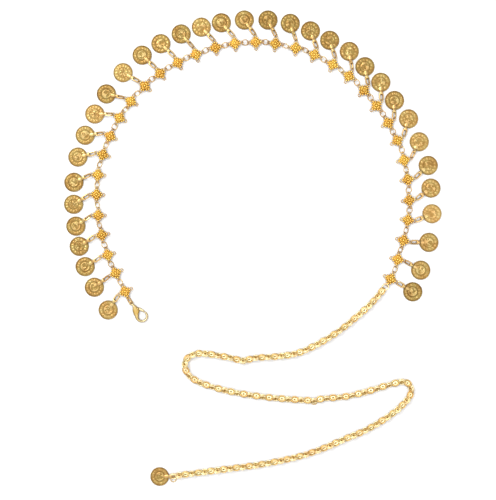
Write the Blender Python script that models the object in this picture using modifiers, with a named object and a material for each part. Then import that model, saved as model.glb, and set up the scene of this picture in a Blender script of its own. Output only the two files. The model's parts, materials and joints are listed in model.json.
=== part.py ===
"""Chain belt of cast star links with hanging coins, a lobster clasp and a long tail chain, laid flat.

The row of stars lies on the XY plane as an open ring, with its coins fanned out on the outside.
The tail chain runs back and forth in front of it, towards -Y, and ends in one more coin.
"""

import math

import bmesh
import bpy
from mathutils import Vector, geometry

MM = 0.001

# Driving sizes. The coin's diameter sets the scale of all the rest.
COIN_DIAMETER = 15.0 * MM
COIN_THICKNESS = 0.9 * MM
COIN_SIDES = 16
STAR_RADIUS = 4.4 * MM
STAR_TOP_RADIUS = 3.0 * MM
STAR_BAND = 0.8 * MM
STAR_BOTTOM = 0.5 * MM
STAR_TOP = 3.1 * MM
STAR_SIDES = 8

# Wire parts. Each radius runs to the middle of the wire.
LOOP_OFFSET = 5.4 * MM
LOOP_RADIUS = 1.2 * MM
LOOP_WIRE = 0.28 * MM
LOOP_SIDES = 6
RING_RADIUS = 2.25 * MM
RING_WIRE = 0.27 * MM
RING_SIDES = 8
RING_LEAN = math.radians(46)
TAIL_RING_RADIUS = 2.5 * MM
TAIL_RING_SIDES = 12
WIRE_SIDES = 4
LOOP_WIRE_SIDES = 3
# A ring or link that is held tight sits this far from the middle of the loop it pulls on.
TIGHT_SEAT = 0.8 * MM

# The oval link between a star and its coin.
DANGLE_LENGTH = 6.15 * MM
DANGLE_WIDTH = 4.0 * MM
DANGLE_WIRE = 0.28 * MM
DANGLE_LEAN = math.radians(28)
DANGLE_END_POINTS = 5

# The strap is the coin's own tab, folded round the link and down on the coin's face.
STRAP_INNER = 1.2 * MM
STRAP_THICKNESS = 0.4 * MM
STRAP_WIDTH = 1.8 * MM
STRAP_FINGER = 2.4 * MM
STRAP_FOOT = 1.2 * MM
STRAP_FOLD = 1.25 * MM
STRAP_SLOPE = 0.3 * MM
STRAP_SINK = 0.08 * MM
STRAP_ARC_STEP = 45
HINGE_TO_COIN = 8.4 * MM
# The bend's middle lies this far inside the link's far end, so that the curved wire runs clear in it.
HINGE_INSET = 0.12 * MM

# Spacing along the row, within a pair of stars and from one pair to the next.
PAIR_PITCH = 16.6 * MM
NEXT_PITCH = 15.85 * MM

# Heights above the surface.
ROW_HEIGHT = RING_RADIUS * math.sin(RING_LEAN) + RING_WIRE
HINGE_HEIGHT = STRAP_INNER + STRAP_THICKNESS

# The row's line, from the clasp's end to the tail's end, in millimetres.
ROW_LINE = [
    (-102, -101.1), (-115.7, -72.4), (-123.4, -40.8), (-123.8, -8.2), (-114.2, 22.6),
    (-97.9, 50.3), (-74.9, 72.6), (-46.2, 88.1), (-15, 97), (17.8, 97), (49.4, 88),
    (77.4, 70.6), (99.4, 46.6), (115.8, 19), (123.9, -11.8), (123.9, -44.2), (115.6, -75.9),
    (109.7, -92),
]

# Each star's turn from the row's own direction, and its coin's swing from straight out, in degrees.
TURN, SWING = 0, 1
STAR_TABLE = [
    (-2, 30), (0, 11), (-6, 18), (-4, 23), (-8, 35), (-2, 32), (4, 29), (1, 29), (-2, 32),
    (1, 28), (10, 15), (7, 10), (3, 8), (1, 17), (-4, 24), (-5, 32), (0, 34), (4, 31),
    (1, 33), (12, 22), (1, 43), (8, 41), (11, 37), (6, 51), (5, 50), (0, 57), (8, 42),
    (-2, 50), (3, 33), (7, 30), (0, 31), (0, 14), (7, -18), (-7, -4),
]

# The tail chain's line, in millimetres, from the last star's loop to the end coin's ring.
TAIL_LINE = [
    (106.3, -97.1), (94, -111.2), (82, -122), (68, -133.2), (50.8, -143.6), (35.2, -150.4),
    (18.4, -153), (1.6, -154.1), (-7.6, -156.2), (-16.8, -154.2), (-34.4, -151.1),
    (-44, -150.6), (-51.2, -153.4), (-54.2, -159), (-52.4, -166), (-46, -171.8),
    (-33.6, -176.8), (-13.6, -181.8), (7.2, -185), (28, -187), (42.4, -187.8),
    (48.8, -188.2), (56, -186.6), (73.6, -185), (90.4, -181.2), (105.6, -176.5),
    (114.4, -174.1), (120.8, -173), (125.2, -175.8), (126.4, -181.2), (123.6, -187.2),
    (115.2, -195.6), (104.8, -203.2), (90.4, -211.6), (73.6, -218.8), (54.4, -227),
    (35.2, -233.2), (7.2, -239), (-21.6, -242.9), (-60.6, -248),
]
CHAIN_DIAMETER = 5.6 * MM
CHAIN_POINTS = 46
TAIL_RING = (-63.65 * MM, -248.6 * MM)
TAIL_RING_DIRECTION = math.radians(184)
END_COIN_TURN = math.radians(-2)

# The lobster clasp, in its own frame: the eye's middle at the origin and the hook along +X.
CLASP_EYE = (-97 * MM, -110.4 * MM)
CLASP_DIRECTION = math.radians(-49)
CLASP_THICKNESS = 2.8 * MM
EYE_RADIUS = 1.4 * MM
EYE_WIRE = 0.34 * MM
EYE_HEIGHT = 1.6 * MM
EYE_SIDES = 12
HOOK_MIDDLE = (12.4 * MM, -0.9 * MM)
HOOK_INNER = 3.7 * MM
HOOK_OUTER = 5.2 * MM
HOOK_ARC_STEP = 20
LEVER_PIN = (6.6 * MM, 0.9 * MM)
LEVER_PIN_RADIUS = 0.4 * MM
LEVER_PIN_CLEARANCE = 0.25 * MM
LEVER_PIN_SIDES = 10
LEVER_PIN_RECESS = 0.2 * MM
LEVER_KNUCKLE = 1.1 * MM
LEVER_THICKNESS = 0.7 * MM
LEVER_GAP = 0.25 * MM
SLOT_SIZE = (4.6 * MM, 4.8 * MM)
SLOT_MIDDLE = (7.5 * MM, 1.0 * MM)
CLASP_LINK_LENGTH = 5.0 * MM
CLASP_LINK_WIDTH = 3.8 * MM
CLASP_LINK_WIRE = 0.25 * MM
CLASP_LINK_LEAN = math.radians(50)

# The middle of the box round the row, its coins and the clasp, in the frame of the lines above.
BOX_MIDDLE = (0.071 * MM, -0.987 * MM)

# Colour and roughness of each finish.
STAR_GOLD = ("star_gold", (0.86, 0.52, 0.12, 1), 0.3)
COIN_GOLD = ("coin_gold", (0.62, 0.44, 0.18, 1), 0.42)
WIRE_GOLD = ("wire_gold", (0.83, 0.66, 0.42, 1), 0.25)
CHAIN_GOLD = ("chain_gold", (0.78, 0.58, 0.28, 1), 0.3)
CLASP_GOLD = ("clasp_gold", (0.80, 0.64, 0.30, 1), 0.28)


def clear_scene():
    for old in list(bpy.data.objects):
        bpy.data.objects.remove(old, do_unlink=True)


def new_collection(name):
    made = bpy.data.collections.new(name)
    bpy.context.scene.collection.children.link(made)
    return made


def metal(finish):
    name, colour, roughness = finish
    made = bpy.data.materials.get(name)
    if made is None:
        made = bpy.data.materials.new(name)
        made.use_nodes = True
        shader = made.node_tree.nodes["Principled BSDF"]
        shader.inputs["Base Color"].default_value = colour
        shader.inputs["Roughness"].default_value = roughness
        shader.inputs["Metallic"].default_value = 1.0
    return made


def place(obj, collection):
    for old in list(obj.users_collection):
        old.objects.unlink(obj)
    collection.objects.link(obj)
    return obj


def as_helper(obj):
    """A shape that is only fused into another or cut from it."""
    place(obj, helpers)
    obj.hide_render = True
    obj.display_type = "WIRE"
    return obj


def mesh_of(obj):
    """The object's evaluated shape as a mesh in its own frame, with its loose caps welded on."""
    bpy.context.view_layer.update()
    graph = bpy.context.evaluated_depsgraph_get()
    made = bpy.data.meshes.new_from_object(obj.evaluated_get(graph))
    shape = bmesh.new()
    shape.from_mesh(made)
    bmesh.ops.remove_doubles(shape, verts=shape.verts, dist=0.001 * MM)
    shape.to_mesh(made)
    shape.free()
    return made


def combine(obj, other, operation="UNION"):
    step = obj.modifiers.new(f"{operation.lower()}_{other.name}", "BOOLEAN")
    step.operation = operation
    step.solver = "EXACT"
    step.object = other


def baked(obj, others):
    """The mesh of an object fused with the others, all of which are then removed."""
    for other in others:
        combine(obj, other)
    made = mesh_of(obj)
    for used in [obj, *others]:
        bpy.data.objects.remove(used, do_unlink=True)
    return made


def torus(name, radius, wire, sides, location=(0, 0, 0), wire_sides=WIRE_SIDES):
    bpy.ops.mesh.primitive_torus_add(
        major_segments=sides,
        minor_segments=wire_sides,
        major_radius=radius,
        minor_radius=wire,
        location=location,
    )
    made = bpy.context.object
    made.name = name
    return as_helper(made)


def wire_ring(name, start, end, height, sides=RING_SIDES):
    """A round ring whose wire runs through two points, leaning about their line until it rests."""
    middle, along = (start + end) / 2, end - start
    radius = along.length / 2
    made = torus(name, radius, RING_WIRE, sides, (middle.x, middle.y, height))
    lean = math.asin((height - RING_WIRE) / radius)
    made.rotation_euler = (lean, 0, math.atan2(along.y, along.x))
    return made


def oval_ring(name, length, width, wire):
    """A closed oval wire along +X, its first end's wire at the origin."""
    radius = width / 2
    outline = []
    for middle, first in ((length - radius, -90), (radius, 90)):
        for step in range(DANGLE_END_POINTS):
            angle = math.radians(first + 180 * step / (DANGLE_END_POINTS - 1))
            outline.append((middle + radius * math.cos(angle), radius * math.sin(angle), 0))
    curve = bpy.data.curves.new(name, "CURVE")
    curve.dimensions = "3D"
    curve.bevel_depth = wire
    curve.bevel_resolution = 0
    spline = curve.splines.new("POLY")
    spline.points.add(len(outline) - 1)
    for point, where in zip(spline.points, outline):
        point.co = (*where, 1)
    spline.use_cyclic_u = True
    drawn = place(bpy.data.objects.new(f"{name}_curve", curve), helpers)
    return baked(drawn, [])


def plate(name, outline, thickness, bottom=0.0):
    """A flat outline in XY, given its thickness upwards from the bottom height."""
    curve = bpy.data.curves.new(name, "CURVE")
    curve.dimensions = "2D"
    curve.fill_mode = "BOTH"
    curve.extrude = thickness / 2
    spline = curve.splines.new("POLY")
    spline.points.add(len(outline) - 1)
    for point, (x, y) in zip(spline.points, outline):
        point.co = (x, y, 0, 1)
    spline.use_cyclic_u = True
    drawn = place(bpy.data.objects.new(f"{name}_curve", curve), helpers)
    made = bpy.data.objects.new(name, baked(drawn, []))
    made.location.z = bottom + thickness / 2
    return as_helper(made)


def arc(middle, radius, first, last, step):
    """Points on an arc from the first angle to the last, both in degrees."""
    count = max(1, round(abs(last - first) / step))
    angles = [math.radians(first + (last - first) * n / count) for n in range(count + 1)]
    return [(middle[0] + radius * math.cos(a), middle[1] + radius * math.sin(a)) for a in angles]


def smooth_line(points, per_stretch=24):
    """A smooth line through points in millimetres, as closely spaced points in metres."""
    flat = [Vector((x * MM, y * MM, 0)) for x, y in points]
    ends = [flat[0] * 2 - flat[1], *flat, flat[-1] * 2 - flat[-2]]
    line = [flat[0]]
    for before, start, end, after in zip(ends, ends[1:], ends[2:], ends[3:]):
        pull = (end - start).length / 3
        leave, arrive = (end - before).normalized() * pull, (after - start).normalized() * pull
        stretch = geometry.interpolate_bezier(start, start + leave, end - arrive, end, per_stretch)
        line += stretch[1:]
    return line


def step_along(line, gaps):
    """The line's first point, then one point for each gap, at that straight distance from the last."""
    found = [line[0]]
    at = 0
    for gap in gaps:
        while at < len(line) - 1 and (line[at] - found[-1]).length < gap:
            at += 1
        before, after = line[at - 1], line[at]
        low, high = (before - found[-1]).length, (after - found[-1]).length
        found.append(before.lerp(after, (gap - low) / (high - low)))
    return found


def even_points(line, count):
    """Points evenly spaced along a line, both of its ends among them."""
    length = [0.0]
    for start, end in zip(line, line[1:]):
        length.append(length[-1] + (end - start).length)
    found, at = [], 0
    for number in range(count):
        want = length[-1] * number / (count - 1)
        while at < len(line) - 2 and length[at + 1] < want:
            at += 1
        share = (want - length[at]) / (length[at + 1] - length[at])
        found.append(line[at].lerp(line[at + 1], min(1.0, share)))
    return found


def direction(angle):
    return Vector((math.cos(angle), math.sin(angle), 0))


def star_mesh():
    """A star link: a faceted boss with a flat wire loop at each of its four points."""
    low, high = STAR_BOTTOM - ROW_HEIGHT, STAR_TOP - ROW_HEIGHT
    profile = [
        (0, high), (STAR_TOP_RADIUS, high), (STAR_RADIUS, STAR_BAND / 2),
        (STAR_RADIUS, -STAR_BAND / 2), (STAR_TOP_RADIUS, low), (0, low),
    ]
    mesh = bpy.data.meshes.new("star_profile")
    mesh.from_pydata(
        [(x, 0, z) for x, z in profile], [(n, n + 1) for n in range(len(profile) - 1)], []
    )
    boss = as_helper(bpy.data.objects.new("star_boss", mesh))
    turned = boss.modifiers.new("turned", "SCREW")
    turned.steps = turned.render_steps = STAR_SIDES
    turned.use_merge_vertices = True
    turned.merge_threshold = 0.01 * MM
    loops = []
    for n in range(4):
        middle = LOOP_OFFSET * direction(n * math.pi / 2)
        loops.append(
            torus(f"star_loop_{n}", LOOP_RADIUS, LOOP_WIRE, LOOP_SIDES, middle, LOOP_WIRE_SIDES)
        )
        loops[-1].rotation_euler.z = n * math.pi / 2
    return baked(boss, loops)


def coin_mesh():
    """A coin with its strap, with the hinge's line along Y through the origin and the coin along +X."""
    bpy.ops.mesh.primitive_cylinder_add(
        vertices=COIN_SIDES,
        radius=COIN_DIAMETER / 2,
        depth=COIN_THICKNESS,
        location=(HINGE_TO_COIN, 0, COIN_THICKNESS / 2 - HINGE_HEIGHT),
    )
    disc = bpy.context.object
    disc.name = "coin_disc"
    bpy.ops.object.transform_apply(location=True, rotation=True, scale=True)
    as_helper(disc)

    face = COIN_THICKNESS - HINGE_HEIGHT
    edge = HINGE_TO_COIN - COIN_DIAMETER / 2
    outer = STRAP_INNER + STRAP_THICKNESS
    # The strap leaves the disc's edge, bends up over the hinge and comes down again past the edge.
    foot, fold, tip = edge + STRAP_FOOT, edge + STRAP_FOLD, edge + STRAP_FINGER
    top, under = face + STRAP_THICKNESS, face - STRAP_SINK
    outline = [
        (foot, -outer), *arc((0, 0), outer, -90, -300, STRAP_ARC_STEP),
        (fold + STRAP_SLOPE, top), (tip, top), (tip, under), (fold, under),
        *arc((0, 0), STRAP_INNER, 45, 270, STRAP_ARC_STEP), (foot, -STRAP_INNER),
    ]
    strap = plate("coin_strap", outline, STRAP_WIDTH)
    strap.location = (0, 0, 0)
    strap.rotation_euler = (math.pi / 2, 0, 0)
    return baked(disc, [strap])


class Star:
    """A star's place in the row, and the directions of its loops."""

    def __init__(self, middle, along, row):
        self.middle = middle
        self.forward = along + math.radians(row[TURN])
        self.outward = self.forward + math.pi / 2
        self.coin_direction = self.outward + math.radians(row[SWING])

    def loop(self, angle):
        return self.middle + LOOP_OFFSET * direction(angle)


def stars_in_row():
    gaps = [(PAIR_PITCH, NEXT_PITCH)[n % 2] for n in range(len(STAR_TABLE) - 1)]
    middles = step_along(smooth_line(ROW_LINE), gaps)
    placed = []
    for n, row in enumerate(STAR_TABLE):
        span = middles[min(n + 1, len(middles) - 1)] - middles[max(n - 1, 0)]
        placed.append(Star(middles[n], math.atan2(span.y, span.x), row))
    return placed


def star_object(name, star, mesh):
    made = bpy.data.objects.new(name, mesh)
    made.location = (star.middle.x, star.middle.y, ROW_HEIGHT)
    made.rotation_euler.z = star.forward
    return made


def ring_between(name, first, second, tight_both):
    """The ring from one star to the next, tight on the first and, within a pair, on both."""
    start, end = first.loop(first.forward), second.loop(second.forward + math.pi)
    seat = TIGHT_SEAT * (end - start).normalized()
    return wire_ring(name, start + seat, end - seat if tight_both else end, ROW_HEIGHT)


def hinge_of(star):
    """The middle of the strap's bend on this star's oval link."""
    reach = TIGHT_SEAT + DANGLE_LENGTH - HINGE_INSET
    where = star.loop(star.outward) + reach * direction(star.coin_direction)
    return Vector((where.x, where.y, HINGE_HEIGHT))


def dangle(name, star, mesh):
    """The oval link, from the star's outer loop down to the strap's bend."""
    made = as_helper(bpy.data.objects.new(name, mesh))
    start = star.loop(star.outward) + TIGHT_SEAT * direction(star.coin_direction)
    made.location = (start.x, start.y, ROW_HEIGHT)
    slope = math.asin((ROW_HEIGHT - HINGE_HEIGHT) / DANGLE_LENGTH)
    made.rotation_euler = (DANGLE_LEAN, slope, star.coin_direction)
    return made


def make_row(stars):
    """The stars in pairs, each pair one piece with its rings and its oval links."""
    star, oval = star_mesh(), oval_ring("dangle", DANGLE_LENGTH, DANGLE_WIDTH, DANGLE_WIRE)
    for n in range(0, len(stars), 2):
        first, second = stars[n], stars[n + 1]
        label = f"{n + 1:02d}_{n + 2:02d}"
        pair = place(star_object(f"stars_{label}", first, star.copy()), belt)
        pair.data.materials.append(metal(STAR_GOLD))
        pieces = [
            as_helper(star_object(f"second_star_{label}", second, star)),
            ring_between(f"pair_ring_{label}", first, second, True),
            dangle(f"first_dangle_{label}", first, oval),
            dangle(f"second_dangle_{label}", second, oval),
        ]
        if n + 2 < len(stars):
            pieces.append(ring_between(f"next_ring_{label}", second, stars[n + 2], False))
        for piece in pieces:
            combine(pair, piece)


def make_coin(name, hinge, angle, mesh):
    made = place(bpy.data.objects.new(name, mesh), belt)
    made.location = hinge
    made.rotation_euler.z = angle
    return made


def make_coins(stars):
    mesh = coin_mesh()
    mesh.materials.clear()
    mesh.materials.append(metal(COIN_GOLD))
    for n, star in enumerate(stars):
        make_coin(f"coin_{n + 1:02d}", hinge_of(star), star.coin_direction, mesh)
    # The end coin hangs on the tail ring, on the side away from the chain.
    reach = (TAIL_RING_RADIUS - HINGE_INSET) * direction(TAIL_RING_DIRECTION)
    hinge = Vector((*TAIL_RING, HINGE_HEIGHT)) + reach
    make_coin("end_coin", hinge, TAIL_RING_DIRECTION + END_COIN_TURN, mesh)


def make_tail():
    """The chain as one tube of its outer size, and the ring at its far end."""
    line = even_points(smooth_line(TAIL_LINE), CHAIN_POINTS)
    curve = bpy.data.curves.new("tail_chain", "CURVE")
    curve.dimensions = "3D"
    curve.bevel_depth = CHAIN_DIAMETER / 2
    curve.bevel_resolution = 2
    curve.use_fill_caps = True
    spline = curve.splines.new("POLY")
    spline.points.add(len(line) - 1)
    for point, where in zip(spline.points, line):
        point.co = (where.x, where.y, CHAIN_DIAMETER / 2, 1)
    place(bpy.data.objects.new("tail_chain", curve), belt)
    curve.materials.append(metal(CHAIN_GOLD))

    middle, half = Vector((*TAIL_RING, 0)), TAIL_RING_RADIUS * direction(TAIL_RING_DIRECTION)
    ring = wire_ring("tail_ring", middle - half, middle + half, HINGE_HEIGHT, TAIL_RING_SIDES)
    show_piece(ring, WIRE_GOLD)


def show_piece(obj, finish):
    """Turns a helper into a piece of the belt."""
    place(obj, belt)
    obj.hide_render = False
    obj.display_type = "TEXTURED"
    obj.data.materials.clear()
    obj.data.materials.append(metal(finish))
    return obj


def clasp_outline():
    """The clasp's body in plan, from the neck round the hook and back along its inside."""
    neck, shoulder, side = 0.9 * MM, 2.2 * MM, -4.3 * MM
    return [
        (1.2 * MM, neck), (1.2 * MM, -neck), (3.4 * MM, -2.2 * MM), (6.2 * MM, side),
        (8.6 * MM, -5.0 * MM), *arc(HOOK_MIDDLE, HOOK_OUTER, -115, 88, HOOK_ARC_STEP),
        *arc(HOOK_MIDDLE, HOOK_INNER, 88, -210, HOOK_ARC_STEP),
        (8.7 * MM, 1.6 * MM), (7.8 * MM, shoulder), (5.4 * MM, shoulder), (3.2 * MM, 1.2 * MM),
    ]


def lever_outline():
    """The lever in plan, from its knuckle out to the tip that shuts the mouth."""
    return [
        *arc(LEVER_PIN, LEVER_KNUCKLE, 100, 310, 35),
        (8.9 * MM, 1.35 * MM), (10.2 * MM, 2.3 * MM), (12.0 * MM, 2.9 * MM),
        (11.6 * MM, 3.8 * MM), (9.4 * MM, 3.3 * MM),
    ]


def round_pin(name, radius, height, bottom):
    bpy.ops.mesh.primitive_cylinder_add(
        vertices=LEVER_PIN_SIDES,
        radius=radius,
        depth=height,
        location=(*LEVER_PIN, bottom + height / 2),
    )
    made = bpy.context.object
    made.name = name
    return as_helper(made)


def make_clasp(stars):
    frame = place(bpy.data.objects.new("clasp_frame", None), belt)
    frame.location = (*CLASP_EYE, 0)
    frame.rotation_euler.z = CLASP_DIRECTION

    eye = torus("clasp_eye", EYE_RADIUS, EYE_WIRE, EYE_SIDES, (0, 0, EYE_HEIGHT))
    slot_height = LEVER_THICKNESS + 2 * LEVER_GAP
    slot_bottom = (CLASP_THICKNESS - slot_height) / 2
    bpy.ops.mesh.primitive_cube_add(size=1, location=(*SLOT_MIDDLE, CLASP_THICKNESS / 2))
    slot = as_helper(bpy.context.object)
    slot.name = "lever_slot"
    slot.scale = (*SLOT_SIZE, slot_height)
    hole_radius = LEVER_PIN_RADIUS + LEVER_PIN_CLEARANCE
    hole = round_pin("pin_hole", hole_radius, 2 * CLASP_THICKNESS, -CLASP_THICKNESS / 2)

    body = plate("clasp_body", clasp_outline(), CLASP_THICKNESS)
    combine(body, eye)
    combine(body, slot, "DIFFERENCE")
    combine(body, hole, "DIFFERENCE")
    show_piece(body, CLASP_GOLD)

    lever = plate("clasp_lever", lever_outline(), LEVER_THICKNESS, slot_bottom + LEVER_GAP)
    pin_length = CLASP_THICKNESS - 2 * LEVER_PIN_RECESS
    pin = round_pin("lever_pin", LEVER_PIN_RADIUS, pin_length, LEVER_PIN_RECESS)
    combine(lever, pin)
    show_piece(lever, CLASP_GOLD)
    for piece in (eye, slot, hole, body, lever, pin):
        piece.parent = frame

    # The oval link runs from the first star's free loop to the clasp's eye.
    start = stars[0].loop(stars[0].forward + math.pi)
    way = Vector((*CLASP_EYE, 0)) - start
    link = bpy.data.objects.new(
        "clasp_link", oval_ring("clasp_link", CLASP_LINK_LENGTH, CLASP_LINK_WIDTH, CLASP_LINK_WIRE)
    )
    centred = start + way.normalized() * (way.length - CLASP_LINK_LENGTH) / 2
    link.location = (centred.x, centred.y, ROW_HEIGHT)
    slope = math.asin((ROW_HEIGHT - EYE_HEIGHT) / way.length)
    link.rotation_euler = (CLASP_LINK_LEAN, slope, math.atan2(way.y, way.x))
    show_piece(place(link, belt), WIRE_GOLD)


def centre_belt():
    """Moves every shape so that the middle of the row's box, with its coins and clasp, is the origin."""
    for obj in bpy.data.objects:
        if obj.parent is None:
            obj.location -= Vector((*BOX_MIDDLE, 0))


def shade(collection):
    for obj in collection.objects:
        if obj.type == "MESH":
            obj.data.shade_smooth()
            obj.data.set_sharp_from_angle(angle=math.radians(35))


clear_scene()
belt = new_collection("chain_belt")
helpers = new_collection("fused_and_cut_shapes")
row = stars_in_row()
make_row(row)
make_coins(row)
make_tail()
make_clasp(row)
centre_belt()
shade(belt)
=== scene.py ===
"""Looks of a chain belt: cast star links, hanging coins, a lobster clasp and a long tail chain.

The belt lies flat and is seen from straight above. Each star, coin and link takes its place from
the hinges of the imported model, so that every piece moves with the solid that it stands for.
"""

import json
import logging
import math
from dataclasses import dataclass
from enum import Enum
from typing import Sequence

import bmesh
import bpy
import numpy as np
from bpy.types import ID, Material, Mesh, Node, NodeSocket, NodeTree, Object, ShaderNodeTree
from mathutils import Euler, Matrix, Vector, geometry, noise


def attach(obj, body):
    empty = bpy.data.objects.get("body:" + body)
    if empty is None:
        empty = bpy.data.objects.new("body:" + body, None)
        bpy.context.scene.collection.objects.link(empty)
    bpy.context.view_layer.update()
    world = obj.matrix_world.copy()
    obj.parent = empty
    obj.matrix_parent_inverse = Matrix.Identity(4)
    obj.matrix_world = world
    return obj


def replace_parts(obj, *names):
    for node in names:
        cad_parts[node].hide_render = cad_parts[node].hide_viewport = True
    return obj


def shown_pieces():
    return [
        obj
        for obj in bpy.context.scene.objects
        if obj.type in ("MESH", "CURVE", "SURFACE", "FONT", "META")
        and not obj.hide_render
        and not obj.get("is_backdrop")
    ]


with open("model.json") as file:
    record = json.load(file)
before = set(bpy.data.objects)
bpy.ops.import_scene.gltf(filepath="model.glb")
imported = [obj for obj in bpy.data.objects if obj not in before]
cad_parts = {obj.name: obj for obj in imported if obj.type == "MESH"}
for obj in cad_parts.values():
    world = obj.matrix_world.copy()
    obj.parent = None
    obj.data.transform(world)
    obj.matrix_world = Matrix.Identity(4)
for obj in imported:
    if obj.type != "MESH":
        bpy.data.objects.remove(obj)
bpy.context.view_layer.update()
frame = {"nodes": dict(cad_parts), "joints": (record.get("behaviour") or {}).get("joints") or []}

MM = 0.001
log = logging.getLogger("chain_belt")

# Sizes that the frame's solids share, in metres.
ROW_HEIGHT = 1.89 * MM
LOOP_OFFSET = 5.4 * MM
LINK_REACH = 6.83 * MM
HINGE_TO_COIN = 8.4 * MM
COIN_RADIUS = 7.5 * MM
COIN_THICKNESS = 0.9 * MM

# How far each coin hangs from straight out of its star, in degrees, from the clasp's end on.
COIN_SWINGS = [
    30, 11, 18, 23, 35, 32, 29, 29, 32, 28, 15, 10, 8, 17, 24, 32, 34, 31, 33, 22, 43, 41, 37, 51,
    50, 57, 42, 50, 33, 30, 31, 14, -18, -4,
]

# The tail chain's route, in millimetres, and the shift that centres the belt on the origin.
TAIL_ROUTE = [
    (106.3, -97.1), (94, -111.2), (82, -122), (68, -133.2), (50.8, -143.6), (35.2, -150.4),
    (18.4, -153), (1.6, -154.1), (-7.6, -156.2), (-16.8, -154.2), (-34.4, -151.1),
    (-44, -150.6), (-51.2, -153.4), (-54.2, -159), (-52.4, -166), (-46, -171.8),
    (-33.6, -176.8), (-13.6, -181.8), (7.2, -185), (28, -187), (42.4, -187.8),
    (48.8, -188.2), (56, -186.6), (73.6, -185), (90.4, -181.2), (105.6, -176.5),
    (114.4, -174.1), (120.8, -173), (125.2, -175.8), (126.4, -181.2), (123.6, -187.2),
    (115.2, -195.6), (104.8, -203.2), (90.4, -211.6), (73.6, -218.8), (54.4, -227),
    (35.2, -233.2), (7.2, -239), (-21.6, -242.9), (-60.6, -248),
]
ROUTE_SHIFT = Vector((-0.071 * MM, 0.987 * MM, 0))
CHAIN_DIAMETER = 5.6 * MM

# The photograph's frame: the width of a pixel, and the pixel that the belt's origin falls on.
PIXEL = 0.8 * MM
PHOTO_SIZE = (496, 500)
ORIGIN_PIXEL = (252.85, 166.35)


def heading(angle: float) -> Vector:
    """Returns the level unit vector at an angle from +X, in radians."""
    return Vector((math.cos(angle), math.sin(angle), 0))


def eased(value: np.ndarray | float, low: float, high: float) -> np.ndarray:
    """Returns a smooth rise from 0, where the value is low or less, to 1, where it is high or more."""
    share = np.clip((np.asarray(value, float) - low) / (high - low), 0, 1)
    return share * share * (3 - 2 * share)


def ridge(value: np.ndarray, middle: float, width: float) -> np.ndarray:
    """Returns a round-topped ridge of height 1 about a middle, 0 beyond its width to each side."""
    return np.sqrt(np.clip(1 - ((value - middle) / width) ** 2, 0, 1))


def lift(height: float, reach: float, wire: float, lean: float) -> float:
    """Returns how far a leaning ring is lifted, so that its wire lies on the floor and not in it."""
    return max(0.0, wire + reach * abs(math.sin(lean)) - height)


def new_object(name: str, data: ID) -> Object:
    """Makes an object in the scene.

    Args:
        name: Its name.
        data: Its mesh, curve, lamp or camera.

    Returns:
        The object.
    """
    made = bpy.data.objects.new(name, data)
    bpy.context.scene.collection.objects.link(made)
    return made


def store(mesh: Mesh, label: str, values: Sequence, kind: str = "FLOAT") -> None:
    """Keeps a number or a vector on each point of a mesh.

    Args:
        mesh: The mesh.
        label: The attribute's name.
        values: One value for each point.
        kind: The attribute's type.
    """
    made = mesh.attributes.new(label, kind, "POINT")
    flat = np.asarray(values, np.float32).reshape(-1)
    made.data.foreach_set("value" if kind == "FLOAT" else "vector", flat)


def oval(length: float, width: float, count: int = 12) -> list[Vector]:
    """Lays a level oval path along +X, with its near end at the origin.

    Args:
        length: Its length.
        width: Its width.
        count: Points round each of its two ends.

    Returns:
        The path's points.
    """
    radius = width / 2
    path = []
    for middle, first in ((length - radius, -90), (radius, 90)):
        for step in range(count):
            angle = math.radians(first + 180 * step / (count - 1))
            path.append(Vector((middle + radius * math.cos(angle), radius * math.sin(angle), 0)))
    return path


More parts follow.
